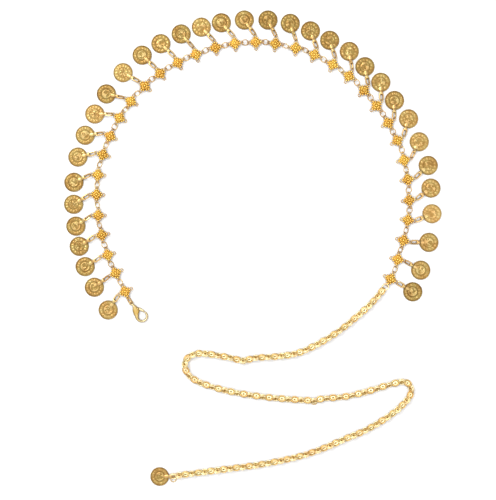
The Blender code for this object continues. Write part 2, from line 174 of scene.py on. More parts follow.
class Shape:
    """Gathers closed shapes, with a relief value at each point, until they become one mesh.

    Relief is 1 on what stands proud and is worn bright, and 0 in a recess that has darkened. It also carries
    painted light and shade: lighter where a part faces up, darker on rims, at feet and where parts meet.
    """

    # Points nearer than this become one, and edges that bend more than this stay sharp.
    SEAM, SHARP = 0.0005 * MM, math.radians(48)

    def __init__(self) -> None:
        """Starts with no points."""
        self.points: list[np.ndarray] = []
        self.faces: list[tuple[int, ...]] = []
        self.relief: list[np.ndarray] = []
        self.count = 0

    def add_grid(
        self, grid: np.ndarray, relief: np.ndarray | float, ring: bool = False, capped: bool = False
    ) -> None:
        """Adds a sheet of quads whose columns run round.

        Args:
            grid: Points, as rows by columns by 3.
            relief: One value for all, or one for each point of the grid.
            ring: True where the last row joins the first.
            capped: True where the first and last rows are closed with a face.
        """
        rows, columns = grid.shape[:2]
        faces = []
        for row in range(rows if ring else rows - 1):
            after = (row + 1) % rows
            for column in range(columns):
                beside = (column + 1) % columns
                faces.append((
                    row * columns + column, row * columns + beside,
                    after * columns + beside, after * columns + column,
                ))
        if capped:
            faces.append(tuple(range(columns)))
            faces.append(tuple((rows - 1) * columns + n for n in range(columns)))
        self.points.append(grid.reshape(-1, 3))
        self.relief.append(np.broadcast_to(np.asarray(relief, float), (rows, columns)).reshape(-1))
        self.faces += [tuple(self.count + n for n in face) for face in faces]
        self.count += rows * columns

    def add_ball(
        self, middle: Sequence[float], radii: Sequence[float], turn: float = 0.0,
        rows: int = 6, columns: int = 8, relief: float = 1.0, base: float = 0.25,
    ) -> None:
        """Adds a ball or an egg shape, with painted light: lighter at its top and painted shade round its
        foot.

        Args:
            middle: Its middle.
            radii: Its radius along its own x, y and z.
            turn: Its turn about z, in radians.
            rows: Faces from pole to pole.
            columns: Faces round it.
            relief: The value at its top.
            base: The value at its middle height and below.
        """
        up = np.linspace(0, math.pi, rows + 1)[:, None]
        around = np.linspace(0, 2 * math.pi, columns, endpoint=False)[None, :]
        x = radii[0] * np.sin(up) * np.cos(around)
        y = radii[1] * np.sin(up) * np.sin(around)
        z = radii[2] * np.cos(up) * np.ones_like(around)
        c, s = math.cos(turn), math.sin(turn)
        grid = np.stack([middle[0] + c * x - s * y, middle[1] + s * x + c * y, middle[2] + z], -1)
        # Painted light and shade: lighter where the shape faces up, darker round its foot.
        shade = base + (relief - base) * np.clip(np.cos(up), 0, 1) * np.ones_like(around)
        self.add_grid(grid, shade)

    def add_tube(self, path: Sequence[Vector], radius: float, sides: int = 6, relief: float = 0.7) -> None:
        """Adds a round wire along a closed path that stays near one plane.

        Args:
            path: Points along the wire's middle.
            radius: The wire's radius.
            sides: Faces round the wire.
            relief: The value on its faces, which its rims have less of, as painted shade.
        """
        points = [Vector(p) for p in path]
        count = len(points)
        middle = sum(points, Vector((0, 0, 0))) / count
        normal = sum(
            ((a - middle).cross(b - middle) for a, b in zip(points, points[1:])), Vector((0, 0, 1e-12))
        ).normalized()
        grid = np.zeros((count, sides, 3))
        turns = [2 * math.pi * (k + 0.5) / sides for k in range(sides)]
        # Painted light and shade: the wire is lighter on its faces and darker at its rims.
        shade = [relief * (0.45 + 0.55 * abs(math.sin(turn))) for turn in turns]
        for n, point in enumerate(points):
            along = (points[(n + 1) % count] - points[n - 1]).normalized()
            side = along.cross(normal).normalized()
            over = side.cross(along)
            for k, turn in enumerate(turns):
                grid[n, k] = point + radius * (math.cos(turn) * side + math.sin(turn) * over)
        self.add_grid(grid, np.array(shade)[None, :], ring=True)

    def mesh(self, name: str, place: Matrix | None = None, tone: float = 0.0) -> Mesh:
        """Makes the mesh, with its faces turned outwards and its seams closed.

        Args:
            name: The mesh's name.
            place: Where it goes, or None to leave it where it is.
            tone: How much brighter, or duller below 0, this piece is than the rest of its finish.

        Returns:
            The mesh, smooth but for its sharp edges, with the attributes relief and tone.
        """
        made = bpy.data.meshes.new(name)
        made.from_pydata(np.concatenate(self.points).tolist(), [], self.faces)
        store(made, "relief", np.concatenate(self.relief))
        store(made, "tone", np.full(self.count, tone))
        work = bmesh.new()
        work.from_mesh(made)
        bmesh.ops.remove_doubles(work, verts=work.verts, dist=self.SEAM)
        bmesh.ops.recalc_face_normals(work, faces=work.faces)
        if place is not None:
            work.transform(place)
        work.to_mesh(made)
        work.free()
        made.shade_smooth()
        made.set_sharp_from_angle(angle=self.SHARP)
        return made


@dataclass
class Wiring:
    """One shader or geometry tree, and the adding and linking of its nodes.

    A group's own inputs and outputs are kept as given and result.
    """

    tree: NodeTree
    given: object = None
    result: object = None

    @classmethod
    def group(cls, name: str, kind: str, inputs: dict[str, str], outputs: dict[str, str]) -> "Wiring":
        """Makes an empty node group.

        Args:
            name: The group's name.
            kind: The kind of tree, Shader or Geometry.
            inputs: The kind of each input, by its name.
            outputs: The same for each output.

        Returns:
            The group's wiring.
        """
        made = cls(bpy.data.node_groups.new(name, f"{kind}NodeTree"))
        for way, sockets in (("INPUT", inputs), ("OUTPUT", outputs)):
            for label, socket in sockets.items():
                made.tree.interface.new_socket(label, in_out=way, socket_type=f"NodeSocket{socket}")
        made.given = made.tree.nodes.new("NodeGroupInput").outputs
        made.result = made.tree.nodes.new("NodeGroupOutput").inputs
        return made

    def feed(self, socket: NodeSocket, value: object) -> None:
        """Links an input, or sets it.

        Args:
            socket: The input.
            value: The socket that it is linked to, or its value.
        """
        if isinstance(value, NodeSocket):
            self.tree.links.new(value, socket)
        else:
            socket.default_value = value

    def add(self, kind: str, inputs: dict | None = None, **settings: object) -> Node:
        """Adds a node.

        Args:
            kind: The node's type.
            inputs: A value, or a socket to link from, for each input, by the input's name or number.
            settings: The node's own settings, made before its inputs are.

        Returns:
            The node.
        """
        node = self.tree.nodes.new(kind)
        for label, value in settings.items():
            setattr(node, label, value)
        for label, value in (inputs or {}).items():
            self.feed(node.inputs[label], value)
        return node

    def math(self, operation: str, *values: object) -> NodeSocket:
        """Adds a Math node whose inputs are numbers or sockets, and returns its output."""
        return self.add("ShaderNodeMath", dict(enumerate(values)), operation=operation).outputs[0]

    def ramp(self, value: NodeSocket, *stops: tuple[float, Sequence[float]]) -> NodeSocket:
        """Adds a Color Ramp.

        Args:
            value: What it reads.
            stops: The place and the colour of each stop, in order.

        Returns:
            Its colour.
        """
        node = self.add("ShaderNodeValToRGB", {"Fac": value})
        for element, (at, colour) in zip(node.color_ramp.elements, (stops[0], stops[-1])):
            element.position = at
            element.color = (*colour, 1)
        for at, colour in stops[1:-1]:
            node.color_ramp.elements.new(at).color = (*colour, 1)
        return node.outputs["Color"]

    def stored(self, label: str, kind: str = "FLOAT") -> NodeSocket:
        """Adds a node that reads an attribute of the geometry, and returns its value."""
        node = self.add("GeometryNodeInputNamedAttribute", {"Name": label}, data_type=kind)
        return node.outputs["Attribute"]

    def store(self, geometry: NodeSocket, label: str, value: object) -> NodeSocket:
        """Adds a node that keeps a number on each point of the geometry, and returns the geometry."""
        inputs = {"Geometry": geometry, "Name": label, "Value": value}
        return self.add("GeometryNodeStoreNamedAttribute", inputs, data_type="FLOAT").outputs["Geometry"]

    def copies(self, points: NodeSocket, shape: NodeSocket, turn: NodeSocket) -> NodeSocket:
        """Adds the nodes that set a shape on every point.

        Args:
            points: The points.
            shape: The shape.
            turn: The rotation of each copy.

        Returns:
            The copies, as plain geometry.
        """
        inputs = {"Points": points, "Instance": shape, "Rotation": turn}
        placed = self.add("GeometryNodeInstanceOnPoints", inputs).outputs["Instances"]
        return self.add("GeometryNodeRealizeInstances", {"Geometry": placed}).outputs["Geometry"]

    def hand_over(self, geometry: NodeSocket) -> NodeTree:
        """Gives geometry the group's Finish and makes it the group's result.

        Args:
            geometry: What the group has made.

        Returns:
            The group's tree, which is complete.
        """
        inputs = {"Geometry": geometry, "Material": self.given["Finish"]}
        self.feed(self.result["Geometry"], self.add("GeometryNodeSetMaterial", inputs).outputs["Geometry"])
        return self.tree

    def shade(self, inputs: dict) -> None:
        """Links or sets inputs of the material's Principled BSDF, by name."""
        for label, value in inputs.items():
            self.feed(self.tree.nodes["Principled BSDF"].inputs[label], value)


class Effects:
    """Shader node groups that several finishes share."""

    # Scale and detail of each noise.
    BROAD_PATCHES, FINE_PATCHES, SCRATCHES, GRAIN = (150, 3), (900, 2), (5200, 2), (2600, 3)
    # The shares of the broad and the fine patches, and how strongly patches change what is clean.
    SHARES, DRIFT = (0.6, 0.4), 3
    SCRATCH_STRETCH, SCRATCH_TURN = (1.0, 0.12, 1.0), math.radians(37)

    @staticmethod
    def _noise(wires: Wiring, vector: NodeSocket, scale: float, detail: float) -> NodeSocket:
        """Adds a Noise Texture and returns its value, which wanders about 0.5."""
        inputs = {"Vector": vector, "Scale": scale, "Detail": detail}
        return wires.add("ShaderNodeTexNoise", inputs).outputs["Fac"]

    @classmethod
    def tarnish_and_shade(cls) -> ShaderNodeTree:
        """Makes the group that says how bright the plate is, from its wear and patina and from painted light
        and shade, on its first use.

        Returns:
            The group, whose first output runs from 0, in a dark recess or painted shade, to 1, where the
            plate is worn bright or has a painted highlight.
        """
        made = bpy.data.node_groups.get("tarnish_and_shade")
        if made:
            return made
        wires = Wiring.group(
            "tarnish_and_shade", "Shader", {"Vector": "Vector", "Relief": "Float", "Tone": "Float", "Wander": "Float"},
            {"Clean_and_lit": "Float", "Patches": "Float"},
        )
        given = wires.given
        broad, fine = [
            wires.math("MULTIPLY", cls._noise(wires, given["Vector"], *kind), share)
            for kind, share in zip((cls.BROAD_PATCHES, cls.FINE_PATCHES), cls.SHARES)
        ]
        patches = wires.math("ADD", broad, fine)
        drift = wires.math("MULTIPLY", wires.math("SUBTRACT", patches, 0.5), given["Wander"])
        # The relief brings in painted light and shade as well as wear, and the patches make the plate duller
        # or brighter here and there.
        clean_and_lit = wires.math("ADD", given["Relief"], wires.math("MULTIPLY", drift, cls.DRIFT))
        clean_and_lit = wires.math("ADD", clean_and_lit, given["Tone"])
        wires.feed(wires.result["Clean_and_lit"], wires.add("ShaderNodeClamp", {0: clean_and_lit}).outputs[0])
        wires.feed(wires.result["Patches"], patches)
        return wires.tree

    @classmethod
    def scuffs(cls) -> ShaderNodeTree:
        """Makes the group of fine scuffs and casting grain, on its first use.

        Returns:
            The group, whose Height wanders about 0.5.
        """
        made = bpy.data.node_groups.get("scuffs")
        if made:
            return made
        wires = Wiring.group("scuffs", "Shader", {"Vector": "Vector", "Grain": "Float"}, {"Height": "Float"})
        given = wires.given
        stretch = wires.add("ShaderNodeMapping", {
            "Vector": given["Vector"], "Scale": cls.SCRATCH_STRETCH, "Rotation": (0, 0, cls.SCRATCH_TURN),
        })
        scratches = cls._noise(wires, stretch.outputs["Vector"], *cls.SCRATCHES)
        grain = wires.math("SUBTRACT", cls._noise(wires, given["Vector"], *cls.GRAIN), 0.5)
        height = wires.math("ADD", wires.math("MULTIPLY", grain, given["Grain"]), scratches)
        wires.feed(wires.result["Height"], height)
        return wires.tree


@dataclass(frozen=True)
class GoldFinish:
    """A gold-coloured plate, from its dark recesses and painted shade to its worn high places and painted
    highlights.
    """

    # How bright the plate is, from its wear and patina and from painted light and shade, where it has its
    # deep, its middle and its bright colour.
    STOPS = (0.04, 0.45, 0.95)
    # How much rougher the dark plate is than the finish's roughness, and how much smoother the rubbed plate.
    ROUGHER, SMOOTHER = 0.22, 0.06
    SCUFF_DEPTH = 0.05 * MM

    name: str
    slot: str
    deep: tuple[float, float, float]
    middle: tuple[float, float, float]
    bright: tuple[float, float, float]
    roughness: float
    wander: float
    grain: float
    bump: float

    def material(self) -> Material:
        """Makes the finish's material, on its first use.

        Returns:
            The material.
        """
        made = bpy.data.materials.get(self.name)
        if made:
            return made
        made = bpy.data.materials.new(self.name)
        made.use_nodes = True
        wires = Wiring(made.node_tree)
        place = wires.add("ShaderNodeTexCoord").outputs["Object"]
        marks = {
            label.capitalize(): wires.add("ShaderNodeAttribute", attribute_name=label).outputs["Fac"]
            for label in ("relief", "tone")
        }
        tarnish_and_shade = wires.add(
            "ShaderNodeGroup", {"Vector": place, "Wander": self.wander, **marks}, node_tree=Effects.tarnish_and_shade()
        ).outputs
        wires.shade({
            "Metallic": 1.0,
            "Base Color": self._colour(wires, tarnish_and_shade),
            "Roughness": wires.add("ShaderNodeMapRange", {
                "Value": tarnish_and_shade["Clean_and_lit"], "To Min": self.roughness + self.ROUGHER,
                "To Max": self.roughness - self.SMOOTHER,
            }).outputs["Result"],
            "Normal": self._normal(wires, place),
        })
        return made

    def _colour(self, wires: Wiring, tarnish_and_shade: object) -> NodeSocket:
        """Adds the nodes of the plate's colour, dark to bright by its wear and patina and by its painted
        light and shade.

        Args:
            wires: The material's wiring.
            tarnish_and_shade: The outputs of the tarnish group.

        Returns:
            The colour, with a hue that drifts.
        """
        plate = wires.ramp(tarnish_and_shade["Clean_and_lit"], *zip(self.STOPS, (self.deep, self.middle, self.bright)))
        # Old plate turns a little red in some patches and a little green in others.
        less = 0.35 * self.wander
        reddish = (1.0, 1.0 - less, 1.0 - 0.6 * self.wander)
        greenish = (1.0 - less, 1.0, 1.0 - 0.1 * self.wander)
        hues = wires.ramp(tarnish_and_shade["Patches"], (0.42, reddish), (0.58, greenish))
        inputs = {"Factor": 1.0, 6: plate, 7: hues}
        return wires.add("ShaderNodeMix", inputs, data_type="RGBA", blend_type="MULTIPLY").outputs[2]

    def _normal(self, wires: Wiring, place: NodeSocket) -> NodeSocket:
        """Adds the nodes of the scuffs and the grain.

        Args:
            wires: The material's wiring.
            place: The point of the surface.

        Returns:
            The normal.
        """
        inputs = {"Vector": place, "Grain": self.grain}
        height = wires.add("ShaderNodeGroup", inputs, node_tree=Effects.scuffs()).outputs["Height"]
        inputs = {"Strength": self.bump, "Distance": self.SCUFF_DEPTH, "Height": height}
        return wires.add("ShaderNodeBump", inputs).outputs["Normal"]

    def dress(self, piece: Object) -> Object:
        """Gives a piece this finish alone.

        Args:
            piece: The piece.

        Returns:
            The same piece.
        """
        piece.data.materials.clear()
        piece.data.materials.append(self.material())
        return piece


STAR_GOLD = GoldFinish(
    "star_plate", "star_gold", deep=(0.20, 0.085, 0.010), middle=(0.66, 0.37, 0.055),
    bright=(0.95, 0.66, 0.17), roughness=0.28, wander=0.14, grain=0.7, bump=0.25,
)
COIN_GOLD = GoldFinish(
    "coin_plate", "coin_gold", deep=(0.11, 0.065, 0.016), middle=(0.31, 0.195, 0.060),
    bright=(0.60, 0.41, 0.175), roughness=0.32, wander=0.26, grain=1.0, bump=0.35,
)
WIRE_GOLD = GoldFinish(
    "wire_plate", "wire_gold", deep=(0.14, 0.07, 0.02), middle=(0.46, 0.27, 0.09),
    bright=(0.84, 0.62, 0.31), roughness=0.24, wander=0.15, grain=0.4, bump=0.15,
)
CHAIN_GOLD = GoldFinish(
    "chain_plate", "chain_gold", deep=(0.30, 0.17, 0.04), middle=(0.80, 0.56, 0.22),
    bright=(0.97, 0.82, 0.50), roughness=0.32, wander=0.16, grain=0.4, bump=0.15,
)
CLASP_GOLD = GoldFinish(
    "clasp_plate", "clasp_gold", deep=(0.18, 0.11, 0.03), middle=(0.48, 0.33, 0.10),
    bright=(0.74, 0.64, 0.40), roughness=0.26, wander=0.14, grain=0.5, bump=0.18,
)


def run_tree(carrier: Object, tree: NodeTree, values: dict[str, object], name: str) -> Object:
    """Runs a Geometry Nodes tree on an object and keeps what it makes.

    Args:
        carrier: The object that it runs on, which is removed.
        tree: The tree.
        values: The value of each of its inputs, by name.
        name: The name of what is left.

    Returns:
        A new object with no modifiers, whose place is in its mesh.
    """
    inputs = {
        item.name: item.identifier for item in tree.interface.items_tree
        if item.item_type == "SOCKET" and item.in_out == "INPUT"
    }
    step = carrier.modifiers.new(name, "NODES")
    step.node_group = tree
    for label, value in values.items():
        step[inputs[label]] = value
    bpy.context.view_layer.update()
    graph = bpy.context.evaluated_depsgraph_get()
    mesh = bpy.data.meshes.new_from_object(carrier.evaluated_get(graph))
    mesh.transform(carrier.matrix_world)
    mesh.name = name
    bpy.data.objects.remove(carrier, do_unlink=True)
    return new_object(name, mesh)


@dataclass(frozen=True)
class Place:
    """Where one copy of a repeated shape goes: a point, a turn and its own tone."""

    at: Vector
    turn: Euler
    tone: float = 0.0


class Copies:
    """Pieces of the belt that repeat one shape, each copy with its own turn and tone, by a node tree."""

    def tree(self) -> NodeTree:
        """Makes the tree, on its first use.

        Returns:
            The tree, with the inputs Shape and Finish.
        """
        made = bpy.data.node_groups.get("copies_on_points")
        if made:
            return made
        inputs = {"Geometry": "Geometry", "Shape": "Object", "Finish": "Material"}
        wires = Wiring.group("copies_on_points", "Geometry", inputs, {"Geometry": "Geometry"})
        shape = wires.add("GeometryNodeObjectInfo", {"Object": wires.given["Shape"]}).outputs["Geometry"]
        turn = wires.add("FunctionNodeEulerToRotation", {0: wires.stored("turn", "FLOAT_VECTOR")}).outputs[0]
        return wires.hand_over(wires.copies(wires.given["Geometry"], shape, turn))

    def make(self, name: str, shape: Mesh, places: Sequence[Place], finish: GoldFinish) -> Object:
        """Makes one piece of all the copies, which rides on the belt.

        Args:
            name: The piece's name.
            shape: The mesh that is repeated, about the origin.
            places: Where each copy goes.
            finish: The finish of all of them.

        Returns:
            The piece, as a plain mesh.
        """
        points = bpy.data.meshes.new(f"{name}_points")
        points.from_pydata([tuple(p.at) for p in places], [], [])
        store(points, "turn", [tuple(p.turn) for p in places], "FLOAT_VECTOR")
        store(points, "tone", [p.tone for p in places])
        shape.attributes.remove(shape.attributes["tone"])
        pattern = new_object(f"{name}_pattern", shape)
        carrier = new_object(f"{name}_carrier", points)
        values = {"Shape": pattern, "Finish": finish.material()}
        piece = run_tree(carrier, self.tree(), values, name)
        bpy.data.objects.remove(pattern, do_unlink=True)
        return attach(finish.dress(piece), "belt")


@dataclass(frozen=True)
class WireRing:
    """A round wire ring: its radius to the middle of the wire, the wire's radius, and its faces."""

    radius: float
    wire: float
    count: int = 28
    sides: int = 8

    def mesh(self, name: str) -> Mesh:
        """Makes the ring's mesh.

        Args:
            name: The mesh's name.

        Returns:
            The mesh, level about the origin.
        """
        shape = Shape()
        path = [self.radius * heading(2 * math.pi * n / self.count) for n in range(self.count)]
        shape.add_tube(path, self.wire, self.sides)
        return shape.mesh(name)


@dataclass(frozen=True)
class StarPlace:
    """One star of the row, with the coin that hangs on it."""

    middle: Vector
    outward: float
    hinge: Vector
    coin_direction: float

    @property
    def forward(self) -> float:
        """The direction of the loop towards the tail's end."""
        return self.outward - math.pi / 2

    def loop(self, angle: float) -> Vector:
        """Returns the middle of the star's loop in that direction."""
        return self.middle + LOOP_OFFSET * heading(angle)


class Layout:
    """Where everything lies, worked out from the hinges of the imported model."""

    def __init__(self) -> None:
        """Reads the hinges and places the stars from them."""
        self.joints = {joint["child"]: joint for joint in frame["joints"]}
        self.stars = [self._star(n, swing) for n, swing in enumerate(COIN_SWINGS)]
        self.tail = [ROUTE_SHIFT + Vector((x * MM, y * MM, CHAIN_DIAMETER / 2)) for x, y in TAIL_ROUTE]

    def hinge(self, body: str) -> tuple[Vector, float]:
        """Reads a coin's hinge.

        Args:
            body: The body that the hinge turns.

        Returns:
            The hinge's point, and the direction in which the coin hangs from it.
        """
        joint = self.joints[body]
        axis = joint["axis"]
        return Vector(joint["pos_m"]), math.atan2(axis[0], -axis[1])

    def _star(self, number: int, swing: float) -> StarPlace:
        """Places a star from its coin's hinge.

        Args:
            number: The star's place in the row, from 0.
            swing: Its coin's swing from straight out, in degrees.

        Returns:
            The star's place.
        """
        hinge, direction = self.hinge(f"coin_{number + 1:02d}")
        outward = direction - math.radians(swing)
        middle = hinge - LINK_REACH * heading(direction) - LOOP_OFFSET * heading(outward)
        middle.z = ROW_HEIGHT
        return StarPlace(middle, outward, hinge, direction)

    def smooth_tail(self, per_stretch: int = 24) -> list[Vector]:
        """Smooths the tail's route.

        Args:
            per_stretch: Points between two points of the route.

        Returns:
            Closely spaced points on one smooth line.
        """
        flat = self.tail
        ends = [flat[0] * 2 - flat[1], *flat, flat[-1] * 2 - flat[-2]]
        line = [flat[0]]
        for before, start, end, after in zip(ends, ends[1:], ends[2:], ends[3:]):
            pull = (end - start).length / 3
            leave, arrive = (end - before).normalized() * pull, (after - start).normalized() * pull
            line += geometry.interpolate_bezier(start, start + leave, end - arrive, end, per_stretch)[1:]
        return line


@dataclass
class StarRow:
    """The cast stars: a pointed filigree boss with beads and petals, and a wire loop at each point."""

    corner: float = 4.2 * MM
    squareness: float = 1.42
    bead: float = 0.74 * MM
    beads_per_side: int = 3
    edge_height: float = 0.35 * MM
    dome: float = 0.5 * MM
    back: float = 1.1 * MM
    boss_share: float = 0.93
    petal_start: float = 1.0 * MM
    petal_margin: float = 0.8 * MM
    petal_height: float = 0.62 * MM
    petal_radii: tuple[float, float] = (0.5 * MM, 0.6 * MM)
    point_bead: float = 0.6 * MM
    point_bead_at: tuple[float, float] = (2.5 * MM, 0.5 * MM)
    middle_bead: tuple[float, float, float] = (0.85 * MM, 0.85 * MM, 0.7 * MM)
    ring_lean: float = 40.0
    ring_lean_spread: float = 4.0
    loop: WireRing = WireRing(1.2 * MM, 0.36 * MM, count=16, sides=6)
    ring: WireRing = WireRing(2.5 * MM, 0.37 * MM)
    star_tones: tuple[float, float] = (-0.04, 0.07)
    loop_tones: tuple[float, float] = (-0.15, 0.15)
    ring_tones: tuple[float, float] = (-0.1, 0.25)
    seed: int = 4

    def outline(self, angle: float) -> float:
        """Measures the star.

        Args:
            angle: A direction from its middle, in radians.

        Returns:
            How far its beads reach in that direction.
        """
        power = self.squareness
        reach = abs(math.cos(angle)) ** power + abs(math.sin(angle)) ** power
        return self.corner / reach ** (1 / power)

    def boss_mesh(self) -> Mesh:
        """Makes one star's boss.

        Returns:
            Its mesh, with its top towards +Z and a point towards +X.
        """
        shape = Shape()
        columns = 48
        angles = np.linspace(0, 2 * math.pi, columns, endpoint=False)
        reach = self.boss_share * np.array([self.outline(a) for a in angles])
        rows, relief = [], []
        for share, height in self._section():
            x, y = reach * share * np.cos(angles), reach * share * np.sin(angles)
            rows.append(np.stack([x, y, np.full(columns, height)], -1))
            relief.append(0.16 if height > 0 else 0.4)
        shape.add_grid(np.array(rows), np.array(relief)[:, None])
        self._edge_beads(shape)
        self._petals(shape)
        return shape.mesh("star_boss")

    def _section(self) -> list[tuple[float, float]]:
        """Lays out the boss's section.

        Returns:
            Its share of the reach and its height, from the middle of its top round to the middle of its back.
        """
        rim, bulge = self.edge_height, self.back - self.edge_height
        top = [(s, rim + self.dome * (1 - s * s)) for s in (0, 0.25, 0.5, 0.75, 0.93)]
        edge = [(1.0, 0.6 * rim), (1.0, -0.6 * rim)]
        return top + edge + [(s, -rim - bulge * (1 - s * s)) for s in (0.9, 0.6, 0.3, 0)]

    def _edge_beads(self, shape: Shape) -> None:
        """Adds the coarse beads that follow the star's outline.

        Args:
            shape: What they are added to.
        """
        for side in range(4):
            for step in range(self.beads_per_side):
                share = step / self.beads_per_side
                # Along a side the beads keep even spacing, so the angle follows the chord.
                angle = side * math.pi / 2 + math.atan2(share, 1 - share)
                reach = self.outline(angle) - 0.1 * MM
                size = self.bead * (1.08 if step == 0 else 0.97)
                middle = (reach * math.cos(angle), reach * math.sin(angle), 0.08 * MM)
                shape.add_ball(middle, (size * 1.2, size * 1.05, size * 1.15), turn=angle)

    def _petals(self, shape: Shape) -> None:
        """Adds the eight petals, the four beads at the points and the round middle.

        Args:
            shape: What they are added to.
        """
        for n in range(8):
            angle = (n + 0.5) * math.pi / 4
            inner, outer = self.petal_start, self.outline(angle) - self.petal_margin
            middle, half = (inner + outer) / 2, (outer - inner) / 2
            at = (middle * math.cos(angle), middle * math.sin(angle), self.petal_height)
            shape.add_ball(at, (half, *self.petal_radii), turn=angle, columns=10)
        reach, height = self.point_bead_at
        for n in range(4):
            angle = n * math.pi / 2
            at = (reach * math.cos(angle), reach * math.sin(angle), height)
            shape.add_ball(at, (self.point_bead,) * 3, turn=angle)
        shape.add_ball((0, 0, self.middle_bead[2]), self.middle_bead, columns=12)

    def make(self, layout: Layout) -> None:
        """Makes the stars, their loops and the rings between them.

        Args:
            layout: Where everything lies.
        """
        draw = np.random.default_rng(self.seed)
        stars, nodes = layout.stars, [n for n in frame["nodes"] if n.startswith("stars_")]
        tones = draw.uniform(*self.star_tones, len(stars))
        places = [Place(s.middle, Euler((0, 0, s.forward)), t) for s, t in zip(stars, tones)]
        bosses = Copies().make("star_bosses", self.boss_mesh(), places, STAR_GOLD)
        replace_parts(bosses, *nodes)

        places = [
            Place(s.loop(s.forward + n * math.pi / 2), Euler((0, 0, 0)), draw.uniform(*self.loop_tones))
            for s in stars for n in range(4)
        ]
        Copies().make("star_loops", self.loop.mesh("star_loop"), places, WIRE_GOLD)

        places = [self._ring_place(a, b, draw) for a, b in zip(stars, stars[1:])]
        Copies().make("jump_rings", self.ring.mesh("jump_ring"), places, WIRE_GOLD)

    def _ring_place(self, first: StarPlace, second: StarPlace, draw: np.random.Generator) -> Place:
        """Places the ring between two stars.

        Args:
            first: The star before it.
            second: The star after it.
            draw: Where its lean and its tone come from.

        Returns:
            Its place, leaning about the line between the stars' loops.
        """
        start, end = first.loop(first.forward), second.loop(second.forward + math.pi)
        along = end - start
        spread = draw.uniform(-self.ring_lean_spread, self.ring_lean_spread)
        lean = math.radians(self.ring_lean + spread) * draw.choice([-1, 1])
        turn = Euler((lean, 0, math.atan2(along.y, along.x)))
        middle = (start + end) / 2
        middle.z += lift(middle.z, self.ring.radius, self.ring.wire, lean)
        return Place(middle, turn, draw.uniform(*self.ring_tones))


class CoinFace(Enum):
    """The generic reliefs that the coins carry."""

    WREATH = "wreath"
    BEADED = "beaded"
    WORN = "worn"


# The faces of the coins that don't carry the wreath, by the coin's number.
COIN_FACES = {
    **dict.fromkeys((4, 6, 10, 12, 21), CoinFace.BEADED),
    **dict.fromkeys((14, 16, 19, 20, 22, 23, 24, 25, 27, 28, 29, 30, 31, 32), CoinFace.WORN),
}
END_COIN = 35
# How much brighter, or duller below 0, a coin is than the rest, by its number.
COIN_TONES = {
    1: 0.06, 3: -0.03, 4: -0.04, 5: -0.03, 6: -0.02, 7: -0.05, 10: 0.08, 11: -0.07, 12: 0.06, 13: -0.05,
    14: -0.03, 15: -0.09, 16: 0.05, 17: -0.06, 18: -0.05, 19: -0.12, 20: -0.10, 21: -0.07, 22: -0.07,
    24: -0.05, 25: 0.02, 26: -0.01, 27: 0.08, 28: 0.11, 29: 0.04, 30: 0.08, 31: 0.20, 32: 0.03, 33: 0.03,
    34: -0.09, END_COIN: 0.02,
}


